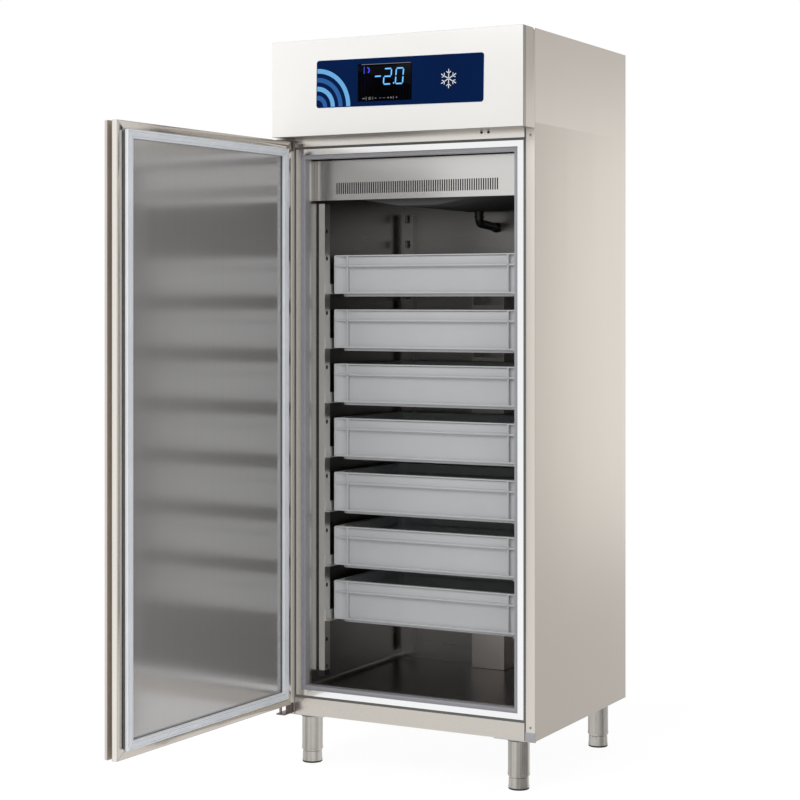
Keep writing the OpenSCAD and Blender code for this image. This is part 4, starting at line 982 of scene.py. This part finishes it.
def diffuser_sheet():
    """Slotted sheet with folds below and at its ends, and a near-black sheet of painted shade
    behind its slots.
    """
    low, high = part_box("diffuser_panel")
    slots, span, width = 73, 0.515, 3.7 * MM
    pitch = (span - width) / (slots - 1)
    back = low.y + SHEET
    depth, fold = (low.y, back), (back, high.y)
    z0 = low.z + 17.3 * MM
    z1 = z0 + 32.5 * MM
    half = span / 2
    shape = Shape()
    shape.block((low.x, high.x), depth, (low.z, z0))
    shape.block((low.x, high.x), depth, (z1, high.z))
    for xs in ((low.x, -half), (half, high.x)):
        shape.block(xs, depth, (z0, z1))
    for number in range(slots - 1):
        x = width - half + number * pitch
        shape.block((x, x + pitch - width), depth, (z0, z1))
    shape.block((low.x, high.x), fold, (low.z, low.z + SHEET))
    for xs in ((low.x, low.x + SHEET), (high.x - SHEET, high.x)):
        shape.block(xs, fold, (low.z + SHEET, high.z))
    # The near-black sheet behind the slots paints the shade inside them.
    shape.block((-half - 10 * MM, half + 10 * MM), (back + 3 * MM, back + 4 * MM),
                (z0 - 5 * MM, z1 + 5 * MM), finish=1)
    shape.put(
        "diffuser_slotted_sheet", "diffuser dark", "cabinet", ["diffuser_panel"]
    )


def front_upright_pair():
    """Front uprights with a narrow front web, wide holes and near-black strips of painted shade
    behind them.
    """
    low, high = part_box("front_uprights")
    middle = (low.y + high.y) / 2
    narrower, widening, hole_height = 5 * MM, 1.6, 12 * MM
    shape = Shape()
    shape.copy_of("front_uprights")
    rims = []
    for vert in shape.mesh.verts:
        if abs(vert.co.x) > high.x - 0.5 * MM and vert.co.y < low.y + 1.5 * MM:
            vert.co.x -= math.copysign(narrower, vert.co.x)
        elif abs(vert.co.y - middle) < 4.5 * MM:
            rims.append(vert)
    rims.sort(key=lambda vert: vert.co.z)
    while rims:
        hole = [vert for vert in rims if vert.co.z < rims[0].co.z + hole_height]
        centre = (hole[0].co.z + hole[-1].co.z) / 2
        for vert in hole:
            vert.co.y = middle + (vert.co.y - middle) * widening - 2 * MM
            vert.co.z = centre + (vert.co.z - centre) * widening - 3 * MM
        rims = rims[len(hole):]
    web = high.x - 24 * MM
    # Near-black strips behind the holes: painted shade seen through them.
    for side in (-1, 1):
        shape.block((side * (web + 1.4 * MM), side * (web + 2 * MM)),
                    (low.y + 1.2 * MM, high.y - 1.2 * MM), (low.z + 2 * MM, high.z - 2 * MM),
                    finish=1)
    shape.put(
        "front_upright_pair", "racking dark", "cabinet", ["front_uprights"]
    )


def drain_hose():
    """Drain from the tray to the rear channel, with two ribs, a wall collar and a round nut."""
    low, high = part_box("drain_pipe")
    radius = 13 * MM
    front, level = low.y + radius + 1 * MM, low.z + 16.5 * MM
    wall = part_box("rear_duct")[1].y
    shape = Shape()
    shape.tube(
        [(0, front, high.z), (0, front, level + 9 * MM), (0, high.y - 75 * MM, level),
         (0, high.y, level)], radius, 22 * MM,
    )
    for drop in (6 * MM, 18 * MM):
        shape.lathe([(12, -3), (14.8, -3), (14.8, 3), (12, 3)], (0, front, high.z - drop), 32)
    collar = [(12, -6), (15.5, -6), (15.5, 0), (12, 0)]
    shape.lathe(collar, (0, wall - 0.4 * MM, level), 32, level=True)
    nut = [(0.1, -22), (8, -21), (13.8, -16), (15.5, -9), (13.8, -2), (9, 0)]
    shape.lathe(nut, (0, wall - 0.6 * MM, level), 24, level=True)
    shape.put("drain_hose", "black", "cabinet", ["drain_pipe"])


def fish_box(node, rib, soft):
    """Stacking box: floor, walls, three rims, ribs, rim bands, corner posts and a stacking foot."""
    low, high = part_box(node)
    wall, recess, corner, post = 4 * MM, 10.5 * MM, 30 * MM, 6 * MM
    bottom, top = low.z + 8 * MM, high.z
    size = (high.x - low.x, high.y - low.y)
    centre = ((low.x + high.x) / 2, (low.y + high.y) / 2)
    outer = (size[0] - 2 * recess, size[1] - 2 * recess)
    inner = (outer[0] - 2 * wall, outer[1] - 2 * wall)
    floor = (bottom, bottom + 6 * MM)
    shape = Shape()
    shape.ring(outer, corner, inner, corner - wall, bottom, top - 1 * MM, centre)
    shape.ring(inner, corner - wall, (20 * MM, 20 * MM), 5 * MM, *floor, centre)
    shape.block(*((middle - 11 * MM, middle + 11 * MM) for middle in centre), floor)
    for zs in ((bottom, bottom + 5 * MM), (top - 34.5 * MM, top - 29.5 * MM), (top - 4 * MM, top)):
        shape.ring(size, 4 * MM, inner, corner - wall, *zs, centre, soft)
    height = (bottom + 2 * MM, top - 2 * MM)
    x_rib, y_rib = (length / 2 - 44 * MM for length in size)
    for sx in (-1, 1):
        for sy in (-1, 1):
            x, y = centre[0] + sx * size[0] / 2, centre[1] + sy * size[1] / 2
            x_mid, y_mid = centre[0] + sx * x_rib, centre[1] + sy * y_rib
            shape.block((x, x - sx * post), (y, y - sy * post), height, soft)
            shape.block((x_mid - rib / 2, x_mid + rib / 2), (y, y - sy * recess), height, soft)
            shape.block((x, x - sx * recess), (y_mid - rib / 2, y_mid + rib / 2), height, soft)
            corner_post(shape, (x, y), (sx, sy), bottom + 2 * MM, top - 4 * MM, recess)
    band, depth, band_height = 4.5 * MM, 7 * MM, (top - 30 * MM, top - 5 * MM)
    for side in (-1, 1):
        y = centre[1] + side * (size[1] / 2 - band)
        shape.block((centre[0] - x_rib, centre[0] + x_rib), (y, y - side * depth), band_height,
                    0.4 * MM)
        x = centre[0] + side * (size[0] / 2 - band)
        shape.block((x, x - side * depth), (centre[1] - y_rib, centre[1] + y_rib), band_height,
                    0.4 * MM)
    foot = [length - 26 * MM for length in size]
    hollow = [length - 24 * MM for length in foot]
    shape.ring(foot, corner, hollow, corner - 12 * MM, low.z, bottom + 1 * MM, centre, 0.8 * MM)
    shape.put(node + "_moulding", "box", node, [node])


def corner_post(shape, corner, side, low, high, recess):
    """Slanted walls that close the pocket behind a corner of a box."""
    near, far, reach, start = recess - 0.3 * MM, recess + 2 * MM, 36 * MM, 1.5 * MM
    plan = [(start, start), (reach, near), (reach, far), (far, far), (far, reach), (near, reach)]
    outline = [(corner[0] - side[0] * a, corner[1] - side[1] * b, low) for a, b in plan]
    shape.prism(outline, (0, 0, high - low))


def fascia_sheet(bend):
    """Folded fascia, rounded about its pins so that it clears the side panels as it tilts."""
    low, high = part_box("fascia_panel")
    top_end = high.y - 12.5 * MM
    part = blank(*zip(low, high))
    cut(part, (0, top_end, 0), (0, 1, 0))
    unwanted = []
    for face in part.faces:
        behind = face.normal.z > 0.9 and face.calc_center_median().y > top_end
        if face.normal.y > 0.9 or behind:
            unwanted.append(face)
    bmesh.ops.delete(part, geom=unwanted, context="FACES")
    corners = [v for v in part.verts if v.co.y > high.y - 1e-5 and v.co.z > high.z - 1e-5]
    round_off(part, corners, 11.2 * MM, 5, "VERTICES")
    round_off(part, folds_of(part), bend, 4)
    thicken(part, SHEET, (low + high) / 2)
    pin, reach = Vector((0, high.y - 11.5 * MM, high.z - 14 * MM)), 11.3 * MM
    for vert in part.verts:
        arm = vert.co - pin
        arm.x = 0
        if arm.y > 0 and arm.z > 0 and arm.length > reach:
            vert.co -= arm * (1 - reach / arm.length)
    wrap = [low.y, low.y + 13.5 * MM, low.y + 16.5 * MM]
    for depth in wrap[1:]:
        cut(part, (0, depth, 0), (0, 1, 0))
    shape = Shape()
    # Every face but the front takes the return steel, painted darker than the sides: painted shade.
    shape.take(part, finish=1)
    shape.face_finish((0, -1, 0), 0)
    # Two bands at the front of each return are painted darker still: painted shade at the bend.
    for side in (-1, 1):
        for finish in (2, 3):
            shape.face_finish((side, 0, 0), finish, wrap[finish - 2], wrap[finish - 1])
    shape.put(
        "fascia_sheet", "fascia return wrap wrap_edge", "fascia", ["fascia_panel"]
    )


def tilt_like_label(shape):
    """The label and its display sit a touch off level."""
    middle = sum(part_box("control_label"), Vector()) / 2
    turn = Matrix.Rotation(math.radians(0.8), 4, "Y")
    place = Matrix.Translation(middle) @ turn @ Matrix.Translation(-middle)
    bmesh.ops.transform(shape.mesh, matrix=place, verts=shape.mesh.verts)


def label_film():
    """White-rimmed dark film with a fan of pale arcs and a frost star."""
    low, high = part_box("control_label")
    rim, film, ink = 2.2 * MM, 2 * HAIR, low.y - 0.05 * MM
    shape = Shape()
    rounded_film(shape, low, high, -rim, 10 * MM, (high.y, low.y + film), 1)
    rounded_film(shape, low, high, 0.0, 8 * MM, (low.y + film, low.y), 0)
    corner = Vector((low.x + rim, ink, low.z + rim))
    first, pitch, width = 20 * MM, 25 * MM, 13 * MM
    for number, tone in enumerate((3, 2, 3, 2)):
        inner = first + number * pitch
        arc(shape, corner, inner, inner + width, 0, 90, tone)
    frost_star(shape, Vector((0.172, ink, (low.z + high.z) / 2)), 26 * MM)
    tilt_like_label(shape)
    shape.put("control_film", "label label_rim label_light label_mid", "fascia",
              ["control_label"])


def rounded_film(shape, low, high, inset, corner, depths, tone):
    """A rounded sheet of film between two depths."""
    part = bmesh.new()
    size = (high.x - low.x - 2 * inset, high.z - low.z - 2 * inset)
    rounded_sheet(part, size, corner)
    draw_out(part, part.faces[:], (0, 0, depths[0] - depths[1]))
    middle = Vector(((low.x + high.x) / 2, depths[0], (low.z + high.z) / 2))
    place = Matrix.Translation(middle) @ Matrix.Rotation(math.radians(90), 4, "X")
    shape.take(part, place, tone)


def arc(shape, centre, inner, outer, start, end, tone=0):
    """A flat band of a circle in the XZ plane."""
    part = bmesh.new()
    edges = chain(part, [(inner, 0, 0), (outer, 0, 0)])
    turn = Matrix.Rotation(math.radians(-start), 3, "Y")
    bmesh.ops.rotate(part, cent=(0, 0, 0), matrix=turn, verts=part.verts)
    bmesh.ops.spin(part, geom=part.verts[:] + edges, cent=(0, 0, 0), axis=(0, -1, 0),
                   angle=math.radians(end - start), steps=24)
    bmesh.ops.recalc_face_normals(part, faces=part.faces)
    if sum(face.normal.y for face in part.faces) > 0:
        bmesh.ops.reverse_faces(part, faces=part.faces)
    shape.take(part, Matrix.Translation(centre), tone)


def frost_star(shape, centre, reach):
    """Six arms with side twigs, the usual mark for cold."""
    half, twig_half, skin = 1.2 * MM, 1 * MM, (-HAIR, 0)
    for number in range(6):
        turn = Matrix.Translation(centre) @ Matrix.Rotation(math.radians(60 * number), 4, "Y")
        shape.block((-half, half), skin, (0, reach), place=turn, finish=1)
        for lean in (-1, 1):
            twig = turn @ Matrix.Translation((0, 0, reach * 0.55))
            twig = twig @ Matrix.Rotation(math.radians(52 * lean), 4, "Y")
            shape.block((-twig_half, twig_half), skin, (0, reach * 0.34), place=twig, finish=1)


def display():
    """Dark window with a painted highlight along its top, lit digits, a lit mark, and printed marks
    over the touch fields given a painted glow.
    """
    low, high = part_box("display_window")
    top, left, right = high.z - 4.5 * MM, low.x + 1 * MM, high.x - 5 * MM
    shape = Shape()
    shape.block((left, right), (low.y, high.y), (low.z, top), 2 * HAIR)
    # A pale glowing strip near the window's top is a painted highlight on the glass's edge.
    shape.block((left + 12 * MM, right - 4 * MM), (low.y - 0.08 * MM, low.y),
                (top - 2.2 * MM, top - 1 * MM), finish=1)
    tilt_like_label(shape)
    shape.put("display_glass", "window touch", "fascia", ["display_window"])
    face = low.y - 0.12 * MM
    lit, base = (face - HAIR, face), low.z + 46.2 * MM
    shape = Shape()
    digit(shape, low.x + 83 * MM, base, face, "abged")
    digit(shape, low.x + 120.5 * MM, base, face, "abcdef")
    bar(shape, low.x + 65.5 * MM, base + 22.5 * MM, face, 21 * MM, False)
    shape.block((low.x + 113.5 * MM, low.x + 117.2 * MM), lit, (base + 0.2 * MM, base + 4.2 * MM))
    tilt_like_label(shape)
    shape.put("lit_digits", "digits", "fascia")
    shape = Shape()
    arc(shape, Vector((low.x + 30 * MM, face, low.z + 86.5 * MM)), 6 * MM, 9.5 * MM, -60, 80)
    shape.block((low.x + 20.5 * MM, low.x + 22.5 * MM), lit, (low.z + 77 * MM, low.z + 97 * MM))
    tilt_like_label(shape)
    shape.put("lit_icons", "icons", "fascia")
    # The printed marks over the touch fields glow faintly: painted light.
    shape = Shape()
    level = low.z + 8.5 * MM
    # Middle from the window's left edge, width and height of each mark, in millimetres
    for middle, width, height in (
        (19.5, 5, 2.2), (24.5, 2.2, 3), (29, 1.2, 10), (40.5, 5, 1.2), (50, 1.2, 8.5),
        (59, 4.6, 1.2), (59, 2.4, 3), (73, 5.5, 1.1), (80, 2, 1.1), (86.5, 5, 1.2),
        (98.5, 4.5, 2.8), (106, 1.2, 5), (109.5, 1.2, 5), (107.8, 4, 1.2), (115, 1.4, 7.5),
        (125, 4, 1.2), (125, 1.2, 4.5),
    ):
        x, half, rise = low.x + middle * MM, width * MM / 2, height * MM / 2
        shape.block((x - half, x + half), lit, (level - rise, level + rise))
    arc(shape, Vector((low.x + 40 * MM, face, level)), 3.2 * MM, 4.3 * MM, 0, 350)
    tilt_like_label(shape)
    shape.put("touch_marks", "touch", "fascia")


def digit(shape, x, z, y, lit):
    """A seven-segment figure whose lower left corner is at x and z."""
    width, height, lean = 22.5 * MM, 42.5 * MM, 0.07
    # Place of each segment, as shares of the figure's width and height, and if it stands
    segments = {
        "a": (0.5, 1, False), "g": (0.5, 0.5, False), "d": (0.5, 0, False), "b": (1, 0.75, True),
        "c": (1, 0.25, True), "e": (0, 0.25, True), "f": (0, 0.75, True),
    }
    for name in lit:
        across, up, standing = segments[name]
        length = height / 2 - 1.6 * MM if standing else width
        bar(shape, x + across * width + up * height * lean, z + up * height, y, length, standing)


def bar(shape, x, z, y, length, standing):
    """One lit segment with pointed ends."""
    half, thick, lean = length / 2 - 0.6 * MM, 1.9 * MM, 0.07
    points = [(-half, 0), (-half + thick, thick), (half - thick, thick), (half, 0),
              (half - thick, -thick), (-half + thick, -thick)]
    if standing:
        points = [(-b + a * lean, a) for a, b in points]
    shape.prism([(x + a, y, z + b) for a, b in points], (0, -HAIR, 0))


def legs_and_feet():
    """Tubes with a collar under each plate, and the turned feet with their pads."""
    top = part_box("leg_plates")[0].z / MM
    tube = [
        (28.5, top - 1), (30, top), (30, 47), (30.7, 43), (30.9, 40.5), (30.6, 39), (28.4, 34.5),
        (27.6, 33.5), (25.5, 33.5), (25.5, 42), (12, 43),
    ]
    collar = [(29, top - 4.8), (33, top - 4.8), (34.5, top - 3.6), (34.5, top - 0.2),
              (29, top - 0.2)]
    pad = [(0.1, 5.2), (28.2, 5.2), (28.8, 4.4), (28.8, 1.4), (27.8, 0), (0.1, 0)]
    foot = [(10, 36), (24.8, 34.5), (27.2, 32.5), (27.8, 30), (28, 18), (28.4, 11), (29.2, 6.6),
            (28.8, 5), (10, 5)]
    centres = {}
    shape = Shape()
    for node in FOOT_NODES:
        low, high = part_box(node)
        centres[node] = ((low.x + high.x) / 2, (low.y + high.y) / 2, 0)
        shape.lathe(tube, centres[node], 64)
        shape.lathe(collar, centres[node], finish=1)
    shape.put("leg_tube_set", "leg bracket", "cabinet", ["leg_tubes"])
    for node, centre in centres.items():
        stem = (10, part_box(node)[1].z / MM)
        shape = Shape()
        shape.lathe([stem] + foot, centre, 64)
        shape.lathe(pad, centre, finish=1)
        shape.put(node + "_turning", "leg pad", node, [node])


def seen_directly(finish):
    """1 for camera, glossy and transmission rays, which meet the plain white."""
    rays = [
        finish.node("ShaderNodeLightPath", output=name)
        for name in ("Is Camera Ray", "Is Glossy Ray", "Is Transmission Ray")
    ]
    return rays[0].math("MAXIMUM", rays[0], rays[1].math("MAXIMUM", rays[1], rays[2]))


def studio_floor():
    """Pale matt floor that keeps the cabinet's shadow."""
    reach, pale, white_strength, white_share = 30.0, (0.92, 0.92, 0.92), 1.07, 0.86
    part = bmesh.new()
    bmesh.ops.create_grid(part, x_segments=1, y_segments=1, size=reach)
    finish = Finish("Studio floor")
    tone = finish.shades(finish.noise(40.0, 2.0, 0.5), pale, 0.004)
    matt = finish.node("ShaderNodeBsdfDiffuse", None, {"Color": tone})
    sockets = {"Color": (1, 1, 1), "Strength": white_strength}
    white = finish.node("ShaderNodeEmission", None, sockets)
    factor = seen_directly(finish) * white_share
    finish.end(finish.node("ShaderNodeMixShader", None, {0: factor, 1: matt, 2: white}))
    data = bpy.data.meshes.new("studio_floor")
    part.to_mesh(data)
    part.free()
    data.materials.append(finish.material)
    floor = bpy.data.objects.new("studio_floor", data)
    bpy.context.scene.collection.objects.link(floor)


def studio_world(scene, ambient):
    scene.world = bpy.data.worlds.new("Studio")
    finish = Finish("Studio", scene.world)
    direct = seen_directly(finish)
    sockets = {"Color": (1, 1, 1), "Strength": direct + (1 - direct) * ambient}
    finish.end(finish.node("ShaderNodeBackground", None, sockets))


def studio_lamp(name, place, aim, power):
    lamp = bpy.data.lights.new(name, "AREA")
    lamp.shape = "SQUARE"
    lamp.size = 2.4
    lamp.energy = power
    holder = bpy.data.objects.new(name, lamp)
    holder.location = place
    holder.rotation_euler = (Vector(aim) - Vector(place)).to_track_quat("-Z", "Y").to_euler()
    holder.visible_camera = False
    bpy.context.scene.collection.objects.link(holder)
    return holder


def studio_camera(scene, lens):
    camera = bpy.data.cameras.new("Camera")
    camera.lens = lens
    camera.sensor_width = 36.0
    camera.shift_y = CAMERA_SHIFT
    camera.clip_end = 60.0
    holder = bpy.data.objects.new("Camera", camera)
    holder.location = CAMERA_PLACE
    holder.rotation_euler = (math.radians(90), 0, CAMERA_HEADING)
    scene.collection.objects.link(holder)
    scene.camera = holder


class FISHCABINET_OT_carcass(bpy.types.Operator):
    """Side panels, back, header, sill and breaker frame"""

    bl_idname = "fish_cabinet.carcass"
    bl_label = "Carcass"
    bl_options = {"REGISTER", "UNDO"}

    def execute(self, context):
        side_panels(context.scene.fish_cabinet_steel.bend)
        dress("back", "back_panel")
        dress("zinc", "base_panel", "machine_deck", "bay_rails")
        dress("foam", "insulation_foam")
        dress("header", "front_header")
        dress("sill", "front_sill")
        breaker_rings()
        front_seams()
        header_hole_shades()
        carcass_screws()
        return {"FINISHED"}


class FISHCABINET_OT_door(bpy.types.Operator):
    """Door skin, inner pan, seal, handle channel and hinge"""

    bl_idname = "fish_cabinet.door"
    bl_label = "Door"
    bl_options = {"REGISTER", "UNDO"}

    def execute(self, context):
        bend = context.scene.fish_cabinet_steel.bend
        door_skin(bend)
        door_pan(bend)
        handle_groove()
        door_seal()
        dress("foam", "door_foam")
        dress("bush", "door_hinge_bushes")
        dress("pin", "hinge_pins")
        hinge_plates()
        return {"FINISHED"}


class FISHCABINET_OT_interior(bpy.types.Operator):
    """Liner, uprights, runners, air channel and diffuser"""

    bl_idname = "fish_cabinet.interior"
    bl_label = "Interior"
    bl_options = {"REGISTER", "UNDO"}

    def execute(self, context):
        dress("liner", "inner_liner", "rear_uprights")
        dress("black", "upright_clips", "evaporator_fan")
        dress("racking", "runners_left", "runners_right")
        dress("duct", "rear_duct")
        dress("tray", "evaporator_tray", "evaporator_fan_plate")
        dress("fins", "evaporator_coil")
        dress("machine", "evaporator_fan_motor")
        diffuser_sheet()
        front_upright_pair()
        drain_hose()
        return {"FINISHED"}


class FISHCABINET_OT_boxes(bpy.types.Operator):
    """The seven fish boxes"""

    bl_idname = "fish_cabinet.boxes"
    bl_label = "Fish boxes"
    bl_options = {"REGISTER", "UNDO"}

    def execute(self, context):
        sizes = context.scene.fish_cabinet_box
        for node in BOX_NODES[: sizes.count]:
            fish_box(node, sizes.rib, sizes.softness)
        return {"FINISHED"}


class FISHCABINET_OT_fascia(bpy.types.Operator):
    """Control fascia with its label, display and controller"""

    bl_idname = "fish_cabinet.fascia"
    bl_label = "Fascia"
    bl_options = {"REGISTER", "UNDO"}

    def execute(self, context):
        fascia_sheet(context.scene.fish_cabinet_steel.bend)
        label_film()
        display()
        dress("zinc", "fascia_lugs")
        dress("black", "controller")
        return {"FINISHED"}


class FISHCABINET_OT_feet(bpy.types.Operator):
    """Leg tubes and levelling feet"""

    bl_idname = "fish_cabinet.feet"
    bl_label = "Legs and feet"
    bl_options = {"REGISTER", "UNDO"}

    def execute(self, context):
        dress("zinc", "leg_plates")
        legs_and_feet()
        return {"FINISHED"}


class FISHCABINET_OT_machinery(bpy.types.Operator):
    """Compressor, condenser, fans, pipes and wiring box"""

    bl_idname = "fish_cabinet.machinery"
    bl_label = "Machine bay"
    bl_options = {"REGISTER", "UNDO"}

    def execute(self, context):
        dress("machine", "compressor", "condenser_fan_motor")
        dress("dark_fins", "condenser_coil")
        dress("zinc", "condenser_shroud", "condensate_pan")
        dress("black", "condenser_fan")
        dress("copper", "refrigerant_pipes", "filter_drier")
        dress("grey_paint", "electrical_box")
        return {"FINISHED"}


class FISHCABINET_OT_stage(bpy.types.Operator):
    """Floor, surroundings, lamps and camera"""

    bl_idname = "fish_cabinet.stage"
    bl_label = "Stage"
    bl_options = {"REGISTER", "UNDO"}

    def execute(self, context):
        scene = context.scene
        look = scene.fish_cabinet_stage
        front, side = (0.0, -0.3, 1.1), (HALF_WIDTH, 0.0, 1.2)
        studio_floor()
        studio_world(scene, look.ambient)
        studio_lamp("Key lamp", (-0.5, -4.4, 4.6), front, look.key_power)
        fill = studio_lamp("Fill lamp", (-4.6, -3.0, 2.2), front, look.fill_power)
        fill.visible_glossy = False
        studio_lamp("Side lamp", (2.34, 4.6, 1.2), side, look.side_power)
        studio_camera(scene, look.lens)
        scene.view_settings.view_transform = "Standard"
        return {"FINISHED"}


BUILDERS = (
    FISHCABINET_OT_carcass,
    FISHCABINET_OT_door,
    FISHCABINET_OT_interior,
    FISHCABINET_OT_boxes,
    FISHCABINET_OT_fascia,
    FISHCABINET_OT_feet,
    FISHCABINET_OT_machinery,
    FISHCABINET_OT_stage,
)
SETTINGS = (
    ("fish_cabinet_steel", SteelLook),
    ("fish_cabinet_plastic", PlasticLook),
    ("fish_cabinet_box", BoxSizes),
    ("fish_cabinet_stage", StageLook),
)


class FISHCABINET_PT_panel(bpy.types.Panel):
    """Sizes, colours and build steps of the cabinet"""

    bl_idname = "FISHCABINET_PT_panel"
    bl_label = "Fish cabinet"
    bl_space_type = "VIEW_3D"
    bl_region_type = "UI"
    bl_category = "Fish cabinet"

    def draw(self, context):
        layout = self.layout
        for attribute, group in SETTINGS:
            box = layout.box()
            settings = getattr(context.scene, attribute)
            for name in group.__annotations__:
                box.prop(settings, name)
        for builder in BUILDERS:
            layout.operator(builder.bl_idname)


def register():
    for attribute, group in SETTINGS:
        bpy.utils.register_class(group)
        setattr(bpy.types.Scene, attribute, PointerProperty(type=group))
    for item in (*BUILDERS, FISHCABINET_PT_panel):
        bpy.utils.register_class(item)


def unregister():
    for item in (FISHCABINET_PT_panel, *reversed(BUILDERS)):
        bpy.utils.unregister_class(item)
    for attribute, group in reversed(SETTINGS):
        delattr(bpy.types.Scene, attribute)
        bpy.utils.unregister_class(group)


def main():
    register()
    for builder in BUILDERS:
        family, name = builder.bl_idname.split(".")
        getattr(getattr(bpy.ops, family), name)()
    bpy.context.view_layer.update()


if __name__ == "__main__":
    main()
